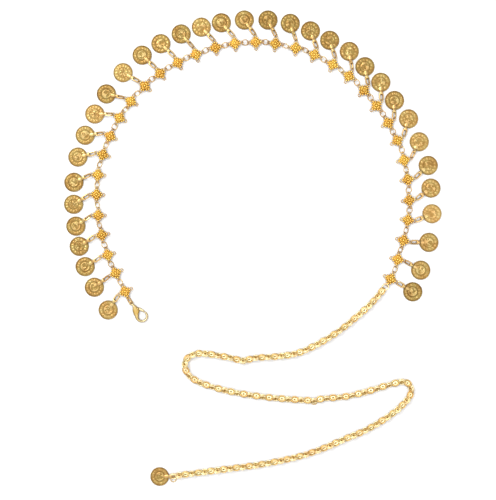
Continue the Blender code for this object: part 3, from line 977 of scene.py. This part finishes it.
@dataclass
class Coin:
    """A struck coin with its folded strap, in the frame of its hinge, which runs along Y."""

    number: int
    hinge: Vector
    direction: float
    columns: int = 84
    field_height: float = 0.50 * MM
    relief_height: float = 0.34 * MM
    visible_radius: float = 7.68 * MM
    broad_wear_size: float = 2.2 * MM
    fine_wear_size: float = 0.85 * MM
    fine_wear: float = 0.75
    # The middle radius and half the width of the dark groove and of the bright band in the struck face.
    groove: tuple[float, float] = (4.05 * MM, 0.6 * MM)
    band: tuple[float, float] = (5.4 * MM, 1.2 * MM)
    relief_outer: float = 6.2 * MM
    rim_inner: float = 6.75 * MM
    # No two coins are turned alike: each is a golden angle past the one before.
    spin_step: float = 2.399
    strap_bend: float = 1.36 * MM
    strap_thickness: float = 0.36 * MM
    strap_chamfer: float = 0.12 * MM

    @property
    def face(self) -> CoinFace:
        """The relief that this coin carries."""
        return COIN_FACES.get(self.number, CoinFace.WREATH)

    def _wear(self, radius: np.ndarray, angle: np.ndarray) -> np.ndarray:
        """Wears the relief, differently on each coin.

        Args:
            radius: Distance of each point from the coin's middle.
            angle: Its direction.

        Returns:
            A value that wanders about 0, above it where more of the relief is left.
        """
        found = np.zeros(radius.shape)
        # Each coin reads the two noises at heights of its own.
        for at in np.ndindex(radius.shape):
            r, a = radius[at], angle[at]
            place = Vector((r * math.cos(a), r * math.sin(a), 0))
            broad = noise.noise(place / self.broad_wear_size + Vector((0, 0, 3.7 * self.number)))
            fine = noise.noise(place / self.fine_wear_size + Vector((0, 0, 9.1 * self.number)))
            found[at] = broad + self.fine_wear * fine
        return found

    def _pattern(self, radius: np.ndarray, angle: np.ndarray) -> np.ndarray:
        """Works out the struck relief.

        Args:
            radius: Distance of each point from the coin's middle.
            angle: Its direction.

        Returns:
            Its height over the field, from 0 to 1.
        """
        r = radius / MM
        wear = self._wear(radius, angle)
        if self.face is CoinFace.WREATH:
            leaves = ridge(r, 5.35, 0.9) * np.clip(0.3 + np.cos(17 * angle + 5 * wear), 0, 1)
            inner = ridge(r, 3.05, 0.45)
            lobes = 0.22 * np.cos(2 * angle + 1.3 * self.number)
            emblem = ridge(r, 1.5, 1.6) * eased(wear + lobes, -0.25, 0.35)
            height = np.maximum.reduce([0.8 * leaves, inner, 0.95 * emblem])
            keep = 0.86 + 0.8 * wear
        elif self.face is CoinFace.BEADED:
            outer = ridge(r, 5.3, 0.8) * np.clip(np.cos(15 * angle + 2 * wear) * 1.3, 0, 1)
            second = ridge(r, 2.9, 0.6) * np.clip(0.6 + np.cos(10 * angle + 4 * wear), 0, 1)
            petals = ridge(r, 1.2, 1.3) * eased(wear + 0.6 * np.cos(5 * angle), -0.2, 0.6)
            height = np.maximum.reduce([outer, second, petals, 0.6 * ridge(r, 4.45, 0.25)])
            keep = 0.85 + 0.7 * wear
        else:
            strokes = ridge(r, 5.3, 0.9) * np.clip(0.1 + np.cos(13 * angle + 2.4 * wear), 0, 1)
            swirl = ridge(r, 2.2, 1.7) * eased(wear + 0.3 * np.cos(2 * angle + 1.1 * r), -0.25, 0.45)
            arcs = ridge(r, 3.1, 0.5) * eased(np.cos(angle * 2 + self.number), -0.4, 0.5)
            height = np.maximum.reduce([0.8 * strokes, 0.95 * swirl, 0.7 * arcs])
            keep = 0.8 + 0.6 * wear
        return height * np.clip(keep, 0.15, 1)

    def _disc(self, shape: Shape) -> None:
        """Adds the struck disc: its relief, its rolled rim, its plain edge and its flat back.

        Args:
            shape: What it is added to.
        """
        angles = np.linspace(0, 2 * math.pi, self.columns, endpoint=False)
        inner = np.linspace(0, self.rim_inner, 27)
        # Radius and height in millimetres, and relief, from the rim to the middle of the back.
        rim = [
            (6.92, 0.74, 0.20), (7.08, 0.90, 0.60), (7.24, 0.90, 0.64), (7.4, 0.78, 0.54), (7.5, 0.58, 0.4),
            (7.5, 0.25, 0.2), (7.38, 0.06, 0.2), (7.2, 0.0, 0.4), (3.6, 0.0, 0.5), (0, 0.0, 0.5),
        ]
        radius = np.repeat(inner[:, None], self.columns, 1)
        angle = np.repeat(angles[None, :], len(inner), 0)
        spin = self.spin_step * self.number
        height = self._pattern(radius, angle + spin) * (1 - eased(radius, self.relief_outer, self.rim_inner))
        top = self.field_height + self.relief_height * height
        groove = ridge(radius, *self.groove) * np.clip(0.75 + 0.5 * np.cos(9 * angle + spin), 0, 1)
        band = ridge(radius, *self.band)
        relief = 0.36 + 0.50 * height - 0.10 * groove * (1 - height) + 0.07 * band
        face = np.stack([radius, top, relief])
        edge = np.array([(r * MM, z * MM, v) for r, z, v in rim]).T[:, :, None] * np.ones(self.columns)
        r, z, v = np.concatenate([face, edge], 1)
        r = r * self.visible_radius / COIN_RADIUS
        x = HINGE_TO_COIN + r * np.cos(angles)
        shape.add_grid(np.stack([x, r * np.sin(angles), z - self.hinge.z], -1), v)

    def _strap_line(self) -> list[tuple[float, float, float, float]]:
        """Lays out the strap's middle line.

        Returns:
            Along, up, half width and relief at each step, from under the coin's edge on.
        """
        edge, bend = HINGE_TO_COIN - COIN_RADIUS, self.strap_bend
        top = COIN_THICKNESS - self.hinge.z + self.strap_thickness / 2
        line = [(edge + 0.7 * MM, -bend + 0.04 * MM, 1.10 * MM, 0.3), (edge, -bend, 1.15 * MM, 0.3)]
        # Round the fold the relief paints light and shade: lighter where the strap faces up, painted shade
        # where it turns down and under.
        for step in range(13):
            angle = math.radians(-90 - 150 * step / 12)
            value = 0.30 + 0.60 * float(eased(math.sin(angle), -0.2, 0.4))
            line.append((1.2 * bend * math.cos(angle), bend * math.sin(angle), 1.2 * MM, value))
        line.append((edge + 0.25 * MM, 0.45 * MM, 1.32 * MM, 0.85))
        # The tongue on the coin: in from its edge, up and half width in millimetres, and relief, with painted
        # shade at its tip, where it dips to the coin's face.
        tongue = [
            (0.95, 0.22, 1.42, 0.85), (1.45, 0.06, 1.50, 0.85), (2.6, 0.03, 1.52, 0.85),
            (3.4, 0.03, 1.32, 0.85), (3.9, 0.0, 0.95, 0.7), (4.15, -0.06, 0.5, 0.2),
        ]
        return line + [(edge + x * MM, top + z * MM, w * MM, v) for x, z, w, v in tongue]

    def _strap(self, shape: Shape) -> None:
        """Adds the strap, a flat strip folded round the link and down on the coin's face.

        Args:
            shape: What it is added to.
        """
        line = self._strap_line()
        half, chamfer = self.strap_thickness / 2, self.strap_chamfer
        grid = np.zeros((len(line), 8, 3))
        for n, (x, z, width, _) in enumerate(line):
            before, after = line[max(n - 1, 0)], line[min(n + 1, len(line) - 1)]
            along = Vector((after[0] - before[0], 0, after[1] - before[1])).normalized()
            up = Vector((0, 1, 0)).cross(along)
            right = [(width - chamfer, half), (width, half - chamfer)]
            right += [(side, -over) for side, over in reversed(right)]
            section = right + [(-side, over) for side, over in reversed(right)]
            for k, (side, over) in enumerate(section):
                grid[n, k] = Vector((x, side, z)) + over * up
        shape.add_grid(grid, np.array([[value] for _, _, _, value in line]), capped=True)

    def make(self, name: str, node: str, body: str) -> None:
        """Makes the coin and its strap as one piece that rides on the coin's body.

        Args:
            name: The piece's name.
            node: The CAD node that it stands for.
            body: The body that it rides on.
        """
        shape = Shape()
        self._disc(shape)
        self._strap(shape)
        place = Matrix.Translation(self.hinge) @ Matrix.Rotation(self.direction, 4, "Z")
        mesh = shape.mesh(name, place, COIN_TONES.get(self.number, 0.0))
        piece = COIN_GOLD.dress(new_object(name, mesh))
        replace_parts(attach(piece, body), node)


@dataclass
class OvalLinks:
    """The oval wire links: one from each star to its coin, and one from the first star to the clasp."""

    length: float = 6.2 * MM
    width: float = 3.2 * MM
    wire: float = 0.60 * MM
    seat: float = 0.78 * MM
    lean: tuple[float, float] = (math.radians(24), math.radians(52))
    clasp_length: float = 5.1 * MM
    clasp_width: float = 3.5 * MM
    clasp_lean: float = math.radians(48)
    tones: tuple[float, float] = (-0.05, 0.22)
    seed: int = 11

    def mesh(self, name: str, length: float, width: float) -> Mesh:
        """Makes an oval link.

        Args:
            name: The mesh's name.
            length: The length of its wire's middle line.
            width: The width of that line.

        Returns:
            The link's mesh, level along +X with its near end's wire at the origin.
        """
        shape = Shape()
        shape.add_tube(oval(length, width), self.wire, sides=7, relief=0.72)
        return shape.mesh(name)

    def make(self, layout: Layout) -> None:
        """Makes the coin links as one piece, then the clasp's link.

        Args:
            layout: Where everything lies.
        """
        draw = np.random.default_rng(self.seed)
        places = []
        for star in layout.stars:
            start = star.loop(star.outward) + self.seat * heading(star.coin_direction)
            slope = math.asin((ROW_HEIGHT - star.hinge.z) / self.length)
            lean = draw.uniform(*self.lean)
            start.z += lift(star.hinge.z, self.width / 2, self.wire, lean)
            places.append(Place(start, Euler((lean, slope, star.coin_direction)), draw.uniform(*self.tones)))
        link = self.mesh("coin_link", self.length, self.width)
        Copies().make("coin_links", link, places, WIRE_GOLD)

        first = layout.stars[0]
        start, end = first.loop(first.forward + math.pi), Vector(layout.joints["clasp"]["pos_m"])
        way = Vector((end.x - start.x, end.y - start.y, 0))
        at = start + way.normalized() * (way.length - self.clasp_length) / 2
        at.z += lift(end.z, self.clasp_width / 2, self.wire, self.clasp_lean)
        slope = math.asin((ROW_HEIGHT - end.z) / way.length)
        place = Place(at, Euler((self.clasp_lean, slope, math.atan2(way.y, way.x))))
        link = self.mesh("clasp_oval", self.clasp_length, self.clasp_width)
        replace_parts(Copies().make("clasp_oval_link", link, [place], WIRE_GOLD), "clasp_link")


class ChainTree(Wiring):
    """Geometry Nodes tree that sets a double ring on each point of a route, every other one on edge."""

    SIZES = (
        "Ring radius", "Wire radius", "Stretch", "Pair gap", "Filling radius", "Filling wire",
        "Flat turn", "Edge turn", "Loose turn",
    )
    # Faces round the wire's ring, round the filling's ring and round the section of both.
    WIRE_FACES, FILLING_FACES, SECTION_FACES = 18, 14, 5
    # Painted light: the relief at the wire's rims, how much more its faces have as a painted highlight, and
    # how much less the ends that hook have as painted shade.
    RIM_RELIEF, FACE_GAIN, HOOK_SHADE = 0.22, 0.38, 0.30
    # A ring on edge shows its rims, which take the painted highlight instead: its wire gains this much
    # relief, less this much of what it had.
    EDGE_RISE, EDGE_FALL = 1.15, 1.4
    # The filling is a sheet of painted light: a painted reflection in a flat ring and painted shade in a ring
    # on edge. Its relief in a flat ring, how much less it has in a ring on edge, and its rise to the ends.
    FILLING_RELIEF, FILLING_FALL, FILLING_RISE = 0.94, 0.9, 0.75
    # The relief that marks the filling between a link's two wires, until it gets its own.
    FILL_MARK = -1.0

    @classmethod
    def build(cls) -> NodeTree:
        """Makes the tree.

        Returns:
            The tree, with its sizes as named inputs.
        """
        inputs = {"Geometry": "Geometry", **dict.fromkeys(cls.SIZES, "Float")}
        inputs |= {"Seed": "Int", "Finish": "Material"}
        made = cls.group("double_ring_chain", "Geometry", inputs, {"Geometry": "Geometry"})
        points, turn = made._points()
        toned = made._toned(made.copies(points, made._pair(), turn))
        smooth = made.add("GeometryNodeSetShadeSmooth", {"Geometry": toned})
        return made.hand_over(smooth.outputs["Geometry"])

    def _pair(self) -> NodeSocket:
        """Adds the nodes of one double ring with a filling between its wires, a sheet that carries painted
        light and shade.

        Returns:
            The double ring, level and stretched along X.
        """
        given = self.given
        place = self.add("GeometryNodeInputPosition").outputs[0]
        split = self.add("ShaderNodeSeparateXYZ", {0: place}).outputs

        # Painted light on the wire: a painted highlight on the ring's faces, and painted shade at its rims
        # and where the next ring hooks.
        share = self.math("ABSOLUTE", self.math("DIVIDE", split["X"], given["Ring radius"]))
        painted_hook_shade = self.math("MULTIPLY", self.math("POWER", share, 4.0), self.HOOK_SHADE)
        face_on = self.math("ABSOLUTE", self.math("DIVIDE", split["Z"], given["Wire radius"]))
        painted_face_light = self.math("ADD", self.math("MULTIPLY", face_on, self.FACE_GAIN), self.RIM_RELIEF)
        ring = self._ring(given["Ring radius"], given["Wire radius"], self.WIRE_FACES)
        wire = self.store(ring, "relief", self.math("SUBTRACT", painted_face_light, painted_hook_shade))

        # A smaller ring fills the link between its two wires, as a sheet for painted light and shade. Its
        # values, from the filling's mark down, mark it for _toned.
        along = self.math("ABSOLUTE", self.math("DIVIDE", split["X"], given["Filling radius"]))
        marked = self.math("SUBTRACT", self.FILL_MARK, self.math("MULTIPLY", along, self.FILLING_RISE))
        filling = self._ring(given["Filling radius"], given["Filling wire"], self.FILLING_FACES)
        filling = self.store(filling, "relief", marked)

        joined = self.add("GeometryNodeJoinGeometry")
        scale = self.add("ShaderNodeCombineXYZ", {"X": given["Stretch"], "Y": 1.0, "Z": 1.0}).outputs[0]
        for sign, part in ((0.5, wire), (-0.5, wire), (0.0, filling)):
            height = self.math("MULTIPLY", given["Pair gap"], sign)
            offset = self.add("ShaderNodeCombineXYZ", {"Z": height}).outputs[0]
            inputs = {"Geometry": part, "Translation": offset, "Scale": scale}
            moved = self.add("GeometryNodeTransform", inputs).outputs["Geometry"]
            self.feed(joined.inputs["Geometry"], moved)
        return joined.outputs["Geometry"]

    def _ring(self, radius: NodeSocket, wire: NodeSocket, count: int) -> NodeSocket:
        """Adds the nodes of a wire ring.

        Args:
            radius: The ring's radius.
            wire: The wire's radius.
            count: Faces round the ring.

        Returns:
            The ring's mesh, level.
        """
        kind = "GeometryNodeCurvePrimitiveCircle"
        path, section = [
            self.add(kind, {"Resolution": faces, "Radius": size}).outputs["Curve"]
            for faces, size in ((count, radius), (self.SECTION_FACES, wire))
        ]
        return self.add("GeometryNodeCurveToMesh", {"Curve": path, "Profile Curve": section}).outputs["Mesh"]

    def _toned(self, links: NodeSocket) -> NodeSocket:
        """Adds the nodes of painted light: a painted highlight on the rims of the rings on edge and on the
        filling of the flat ones, where it stands for a reflection, and painted shade on the filling of the
        rings on edge.

        Args:
            links: All the rings.

        Returns:
            The rings, with their final relief.
        """
        relief, on_edge = self.stored("relief"), self.stored("on_edge")
        filling = self.math("LESS_THAN", relief, 0.5 * self.FILL_MARK)
        rise = self.math("MULTIPLY_ADD", relief, -self.EDGE_FALL, self.EDGE_RISE)
        wire = self.math("MULTIPLY_ADD", on_edge, rise, relief)
        along = self.math("SUBTRACT", self.FILL_MARK, relief)
        fall = self.math("SUBTRACT", along, self.FILLING_FALL)
        inside = self.math("MULTIPLY_ADD", on_edge, fall, self.FILLING_RELIEF)
        gap = self.math("SUBTRACT", inside, wire)
        return self.store(links, "relief", self.math("MULTIPLY_ADD", filling, gap, wire))

    def _points(self) -> tuple[NodeSocket, NodeSocket]:
        """Adds the nodes that turn the route into points.

        Returns:
            The points, and the rotation of the ring on each.
        """
        given = self.given
        points = self.add("GeometryNodeCurveToPoints", {"Curve": given["Geometry"]}, mode="EVALUATED")
        along = {"Vector": points.outputs["Tangent"]}
        align = self.add("FunctionNodeAlignRotationToVector", along, axis="X", pivot_axis="Z")
        odd = self.math("MODULO", self.add("GeometryNodeInputIndex").outputs[0], 2.0)
        rise = self.math("SUBTRACT", given["Edge turn"], given["Flat turn"])
        own_turn = self.math("ADD", given["Flat turn"], self.math("MULTIPLY", odd, rise))
        loose = self.add("FunctionNodeRandomValue", {"Seed": given["Seed"]}, data_type="FLOAT")
        for socket, limit in zip([s for s in loose.inputs if s.type == "VALUE"], (-1.0, 1.0)):
            socket.default_value = limit
        drawn = next(s for s in loose.outputs if s.type == "VALUE")
        angle = self.math("ADD", own_turn, self.math("MULTIPLY", drawn, given["Loose turn"]))
        about_x = self.add("ShaderNodeCombineXYZ", {"X": angle})
        turn = self.add("FunctionNodeRotateRotation", {
            "Rotation": align.outputs["Rotation"],
            "Rotate By": self.add("FunctionNodeEulerToRotation", {0: about_x.outputs[0]}).outputs[0],
        }, rotation_space="LOCAL")
        return self.store(points.outputs["Points"], "on_edge", odd), turn.outputs["Rotation"]


# The loose rings by the chain: the pixel of each in the photograph, and its lean and turn in degrees.
LOOSE_RINGS = ((243.8, 360.6, 14, 0), (314, 401.5, 10, 0), (173.5, 478.7, 12, 60))


@dataclass
class TailChain:
    """The long chain of double rings, with the jump rings that join it and the coin at its end."""

    ring_radius: float = 2.3 * MM
    wire: float = 0.44 * MM
    stretch: float = 1.34
    pair_gap: float = 1.25 * MM
    filling_radius: float = 1.15 * MM
    filling_wire: float = 0.80 * MM
    flat_turn: float = math.radians(-20)
    edge_turn: float = math.radians(47)
    loose_turn: float = math.radians(10)
    pitch: float = 5.15 * MM
    sag: float = 0.7 * MM
    margins: tuple[float, float] = (5.1 * MM, 1.9 * MM)
    start_ring: WireRing = WireRing(2.6 * MM, 0.38 * MM)
    start_offset: tuple[float, float] = (2.3 * MM, 0.2 * MM)
    start_lean: float = math.radians(24)
    end_oval: tuple[float, float] = (5.9 * MM, 4.1 * MM)
    end_filling: tuple[float, float] = (5.0 * MM, 3.2 * MM)
    end_wire: float = 0.5 * MM
    end_gap: float = 0.84 * MM
    end_shifts: tuple[float, float] = (-0.12 * MM, 0.3 * MM)
    end_lift: float = 0.38 * MM
    end_lean: float = math.radians(34)
    end_turn: float = math.radians(182)
    loose_ring: WireRing = WireRing(2.4 * MM, 0.36 * MM)
    loose_height: float = 0.9 * MM
    end_coin_radius: float = 7.45 * MM
    seed: int = 7

    def _link_points(self, line: Sequence[Vector]) -> list[Vector]:
        """Spaces the double rings evenly along the route.

        Args:
            line: Closely spaced points on the route.

        Returns:
            The middle of each double ring, the flat ones lower.
        """
        lengths = [0.0]
        for start, end in zip(line, line[1:]):
            lengths.append(lengths[-1] + (end - start).length)
        first, last = self.margins[0], lengths[-1] - self.margins[1]
        count = round((last - first) / self.pitch)
        found, at = [], 0
        for n in range(count + 1):
            want = first + (last - first) * n / count
            while lengths[at + 1] < want:
                at += 1
            share = (want - lengths[at]) / (lengths[at + 1] - lengths[at])
            middle = line[at].lerp(line[at + 1], share)
            middle.z -= self.sag * (n % 2 == 0)
            found.append(middle)
        return found

    def _links(self, points: Sequence[Vector]) -> Object:
        """Makes all the double rings as one mesh.

        Args:
            points: The middle of each.

        Returns:
            The piece, dressed.
        """
        curve = bpy.data.curves.new("tail_route", "CURVE")
        curve.dimensions = "3D"
        spline = curve.splines.new("POLY")
        spline.points.add(len(points) - 1)
        for point, where in zip(spline.points, points):
            point.co = (*where, 1)
        sizes = (
            self.ring_radius, self.wire, self.stretch, self.pair_gap, self.filling_radius, self.filling_wire,
            self.flat_turn, self.edge_turn, self.loose_turn,
        )
        values = {**dict(zip(ChainTree.SIZES, sizes)), "Seed": self.seed, "Finish": CHAIN_GOLD.material()}
        carrier = new_object("tail_route", curve)
        return CHAIN_GOLD.dress(run_tree(carrier, ChainTree.build(), values, "tail_links"))

    def _start(self, loop: Vector, first: Vector) -> Object:
        """Makes the ring that joins the chain to the last star.

        Args:
            loop: The middle of the star's loop.
            first: The start of the chain's route.

        Returns:
            The piece.
        """
        way = first - loop
        way.z = 0
        along, up = self.start_offset
        at = loop + way.normalized() * along + Vector((0, 0, up))
        place = Place(at, Euler((self.start_lean, 0, math.atan2(way.y, way.x))), 0.2)
        return Copies().make("tail_start_ring", self.start_ring.mesh("start_ring"), [place], WIRE_GOLD)

    def _end(self, hinge: Vector, direction: float) -> Object:
        """Makes the double link at the chain's far end.

        Args:
            hinge: The point that the end coin hangs on.
            direction: The direction in which it hangs.

        Returns:
            The piece.
        """
        link = Shape()
        wires, filling = self.end_shifts
        for side in (-0.5, 0.5):
            path = [p + Vector((wires, 0, self.end_gap * side)) for p in oval(*self.end_oval)]
            link.add_tube(path, self.end_wire, sides=8, relief=0.85)
        # The filling between the two wires is painted shade: a dark sheet in the gap between them.
        path = [p + Vector((filling, 0, 0)) for p in oval(*self.end_filling)]
        link.add_tube(path, 0.9 * self.end_wire, relief=0.15)
        turn = Euler((self.end_lean, 0, direction + self.end_turn))
        # The link is lifted so that its lower wire lies on the floor.
        place = Place(hinge + Vector((0, 0, self.end_lift)), turn, 0.1)
        return Copies().make("tail_end_ring", link.mesh("end_link"), [place], CHAIN_GOLD)

    def make(self, layout: Layout) -> None:
        """Args:
            layout: Where everything lies.
        """
        line = layout.smooth_tail()
        points = self._link_points(line)
        links = self._links(points)
        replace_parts(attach(links, "belt"), "tail_chain")

        last = layout.stars[-1]
        loop = last.loop(last.forward)
        start_ring = self._start(loop, line[0])
        hinge, direction = layout.hinge("end_coin")
        end_ring = self._end(hinge, direction)
        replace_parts(end_ring, "tail_ring")
        coin = Coin(END_COIN, hinge, direction, visible_radius=self.end_coin_radius)
        coin.make("coin_end", "end_coin", "end_coin")

        places = [
            Place(photo_point(x, y, self.loose_height), Euler(map(math.radians, (lean, 0, turn))), 0.2)
            for x, y, lean, turn in LOOSE_RINGS
        ]
        loose_rings = Copies().make("loose_rings", self.loose_ring.mesh("loose_ring"), places, WIRE_GOLD)


def photo_point(x: float, y: float, height: float) -> Vector:
    """Returns the point of that height that shows at a pixel of the photograph."""
    return Vector(((x - ORIGIN_PIXEL[0]) * PIXEL, (ORIGIN_PIXEL[1] - y) * PIXEL, height))


@dataclass
class Clasp:
    """The lobster clasp: a cast body that runs on into its hook, and the sprung lever of its mouth."""

    direction: float = math.radians(-49)
    middle_height: float = 1.4 * MM
    hook_middle: tuple[float, float] = (13.4 * MM, -0.45 * MM)
    hook_radius: float = 4.05 * MM
    hook_wire: float = 0.82 * MM
    body_depth: float = 1.25 * MM
    lever_depth: float = 0.55 * MM
    eye_radius: float = 1.4 * MM
    eye_wire: float = 0.42 * MM
    pin: tuple[float, float] = (6.6 * MM, 0.9 * MM)
    cheek: tuple[float, float, float] = (1.25 * MM, 1.15 * MM, 1.3 * MM)
    pin_head: tuple[float, float, float] = (0.5 * MM, 0.5 * MM, 0.2 * MM)

    def _spine(self) -> list[tuple[float, float, float, float]]:
        """Lays out the body's middle line.

        Returns:
            Its x, y, half width and relief at each step, from the neck to the hook's tip.
        """
        # The leaf's x, y and half width in millimetres, and its relief, which paints light: a painted
        # highlight towards the neck, duller over the wide lobe.
        leaf = [
            (0.9, 0.0, 0.50, 0.80), (1.7, 0.1, 0.72, 0.80), (2.8, 0.1, 1.10, 0.74),
            (4.0, -0.1, 1.75, 0.66), (5.2, -0.4, 2.35, 0.58), (6.4, -0.8, 2.70, 0.54),
            (7.5, -1.4, 2.70, 0.52), (8.4, -2.1, 2.40, 0.52), (9.2, -2.9, 1.85, 0.55),
        ]
        line = [(x * MM, y * MM, w * MM, v) for x, y, w, v in leaf]
        for step in range(26):
            share = step / 25
            angle = math.radians(-140 + 244 * share)
            width = self.hook_wire + 0.80 * MM * (1 - share) ** 5 - 0.12 * MM * share ** 6
            x = self.hook_middle[0] + self.hook_radius * math.cos(angle)
            y = self.hook_middle[1] + self.hook_radius * math.sin(angle)
            # Towards the hook's tip the relief rises, as a painted highlight.
            line.append((x, y, width, 0.56 + 0.36 * float(eased(share, 0.1, 0.6))))
        return line

    def _sweep(
        self, shape: Shape, line: Sequence[tuple[float, float, float, float]], depth: float, columns: int = 14
    ) -> None:
        """Adds a level bar of oval section along a line.

        Args:
            shape: What it is added to.
            line: Its x, y, half width and relief at each step.
            depth: Half its thickness where it is widest.
            columns: Faces round its section.
        """
        around = np.linspace(0, 2 * math.pi, columns, endpoint=False)
        grid, relief = np.zeros((len(line), columns, 3)), np.zeros((len(line), columns))
        for n, (x, y, width, value) in enumerate(line):
            before, after = line[max(n - 1, 0)], line[min(n + 1, len(line) - 1)]
            angle = math.atan2(after[1] - before[1], after[0] - before[0])
            half = min(depth, 0.25 * MM + width)
            grid[n, :, 0] = x - width * np.cos(around) * math.sin(angle)
            grid[n, :, 1] = y + width * np.cos(around) * math.cos(angle)
            grid[n, :, 2] = self.middle_height + half * np.sin(around)
            # Painted light and shade: the bar is lighter on its top and bottom and darker at its sides.
            relief[n] = value * (0.25 + 0.75 * np.abs(np.sin(around)) ** 0.7)
        shape.add_grid(grid, relief, capped=True)

    def _piece(self, shape: Shape, name: str, eye: Vector) -> Object:
        """Makes a piece of a shape, puts it in its place by the clasp's eye and returns it dressed."""
        place = Matrix.Translation((eye.x, eye.y, 0)) @ Matrix.Rotation(self.direction, 4, "Z")
        return CLASP_GOLD.dress(new_object(name, shape.mesh(name, place)))

    def make(self, layout: Layout) -> None:
        """Makes the casting and the lever, each on its own body.

        Args:
            layout: Where everything lies.
        """
        eye = Vector(layout.joints["clasp"]["pos_m"])
        body = Shape()
        self._sweep(body, self._spine(), self.body_depth)
        ring = [Vector((0, 0, eye.z)) + self.eye_radius * heading(2 * math.pi * n / 24) for n in range(24)]
        body.add_tube(ring, self.eye_wire, sides=8)
        # The pin's head stands on a cheek beside the leaf.
        at, top = (*self.pin, self.middle_height), (*self.pin, self.middle_height + self.body_depth)
        body.add_ball(at, self.cheek, rows=8, columns=16, relief=0.4, base=0.15)
        body.add_ball(top, self.pin_head, columns=12, base=0.35)
        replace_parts(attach(self._piece(body, "clasp_casting_body", eye), "clasp"), "clasp_body")

        lever = Shape()
        # The bar's x, y and half width in millimetres, and its relief, from the pin to the hook's tip, with a
        # painted highlight along its middle and painted shade at the pin and at its tip.
        bar = [
            (6.3, 0.9, 0.80, 0.50), (7.1, 1.5, 1.05, 0.70), (8.1, 2.0, 1.15, 0.85),
            (9.2, 2.5, 1.10, 0.95), (10.2, 2.95, 0.95, 0.95), (11.0, 3.2, 0.80, 0.85),
            (11.6, 3.4, 0.60, 0.45), (11.85, 3.45, 0.35, 0.1),
        ]
        self._sweep(lever, [(x * MM, y * MM, w * MM, v) for x, y, w, v in bar], self.lever_depth)
        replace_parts(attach(self._piece(lever, "clasp_lever_arm", eye), "lever"), "clasp_lever")


@dataclass
class Studio:
    """A plain pale floor, soft light from all round and the camera straight above."""

    lens: float = 100.0
    sensor: float = 36.0
    floor_size: float = 6.0
    floor_drop: float = 0.05 * MM
    lamp_aim: tuple[float, float, float] = (0, -0.06, 0)
    brightness: float = 1.75
    # How far towards the brightest way the sky leaves the horizon's colour and has its own.
    sky_rise: tuple[float, float] = (0.10, 0.92)
    brightest_way: tuple[float, float, float] = (-0.28, 0.12, 0.95)
    overhead: tuple[float, float, float] = (1.0, 1.0, 1.0)
    horizon: tuple[float, float, float] = (0.22, 0.20, 0.18)
    paper: tuple[float, float, float] = (0.79, 0.80, 0.81)
    paper_in_metal: tuple[float, float, float] = (0.46, 0.38, 0.28)

    def make(self) -> None:
        """Makes the floor, the world, the lamps and the camera."""
        self._floor()
        self._world()
        self._lamp("key_lamp", (-0.9, 0.9, 1.7), size=0.8, power=16)
        self._lamp("fill_lamp", (1.1, -0.6, 1.5), size=1.2, power=6)
        self._camera()
        bpy.context.scene.view_settings.view_transform = "Standard"

    def _floor(self) -> None:
        """Makes the white floor just under the belt."""
        bpy.ops.mesh.primitive_plane_add(size=self.floor_size, location=(0, 0, -self.floor_drop))
        floor = bpy.context.object
        floor.name = "floor"
        paint = bpy.data.materials.new("floor_paper")
        paint.use_nodes = True
        wires = Wiring(paint.node_tree)
        # Metal sees the floor as darker paper, which gives the plate its dark accents on slopes.
        glossy = wires.add("ShaderNodeLightPath").outputs["Is Glossy Ray"]
        colour = wires.ramp(glossy, (0.0, self.paper), (1.0, self.paper_in_metal))
        wires.shade({"Base Color": colour, "Roughness": 0.9, "Specular IOR Level": 0.1})
        floor.data.materials.append(paint)
        floor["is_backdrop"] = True

    def _world(self) -> None:
        """Makes a sky that is white overhead, towards the upper left, and darker towards the horizon."""
        world = bpy.data.worlds.new("studio")
        bpy.context.scene.world = world
        world.use_nodes = True
        wires = Wiring(world.node_tree)
        way = wires.add("ShaderNodeTexCoord").outputs["Generated"]
        toward = wires.add("ShaderNodeVectorMath", {0: way, 1: self.brightest_way}, operation="DOT_PRODUCT")
        sky = wires.ramp(toward.outputs["Value"], *zip(self.sky_rise, (self.horizon, self.overhead)))
        back = world.node_tree.nodes["Background"]
        wires.feed(back.inputs["Color"], sky)
        wires.feed(back.inputs["Strength"], self.brightness)

    def _lamp(self, name: str, at: tuple[float, float, float], size: float, power: float) -> None:
        """Makes a square area lamp that looks at the middle of the belt.

        Args:
            name: The lamp's name.
            at: Where it hangs.
            size: The length of its side.
            power: Its power, in watts.
        """
        data = bpy.data.lights.new(name, "AREA")
        data.energy = power
        data.size = size
        lamp = new_object(name, data)
        lamp.location = at
        lamp.rotation_euler = (Vector(self.lamp_aim) - Vector(at)).to_track_quat("-Z", "Y").to_euler()

    def _camera(self) -> None:
        """Makes the camera, straight above the middle of the photograph."""
        data = bpy.data.cameras.new("photo_camera")
        data.lens = self.lens
        data.sensor_width = self.sensor
        data.clip_end = 20
        camera = new_object("photo_camera", data)
        field = max(PHOTO_SIZE) * PIXEL
        middle = photo_point(PHOTO_SIZE[0] / 2, PHOTO_SIZE[1] / 2, 0)
        camera.location = (middle.x, middle.y, field * self.lens / self.sensor)
        bpy.context.scene.camera = camera


def main() -> None:
    """Builds the studio and the belt, piece by piece."""
    logging.basicConfig(level=logging.INFO, format="%(name)s: %(message)s")
    Studio().make()
    layout = Layout()
    TailChain().make(layout)
    StarRow().make(layout)
    OvalLinks().make(layout)
    Clasp().make(layout)
    for number, star in enumerate(layout.stars, 1):
        node = f"coin_{number:02d}"
        Coin(number, star.hinge, star.coin_direction).make(f"{node}_struck", node, node)
    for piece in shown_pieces():
        log.info("%s: %d faces", piece.name, len(piece.data.polygons))


if __name__ == "__main__":
    main()
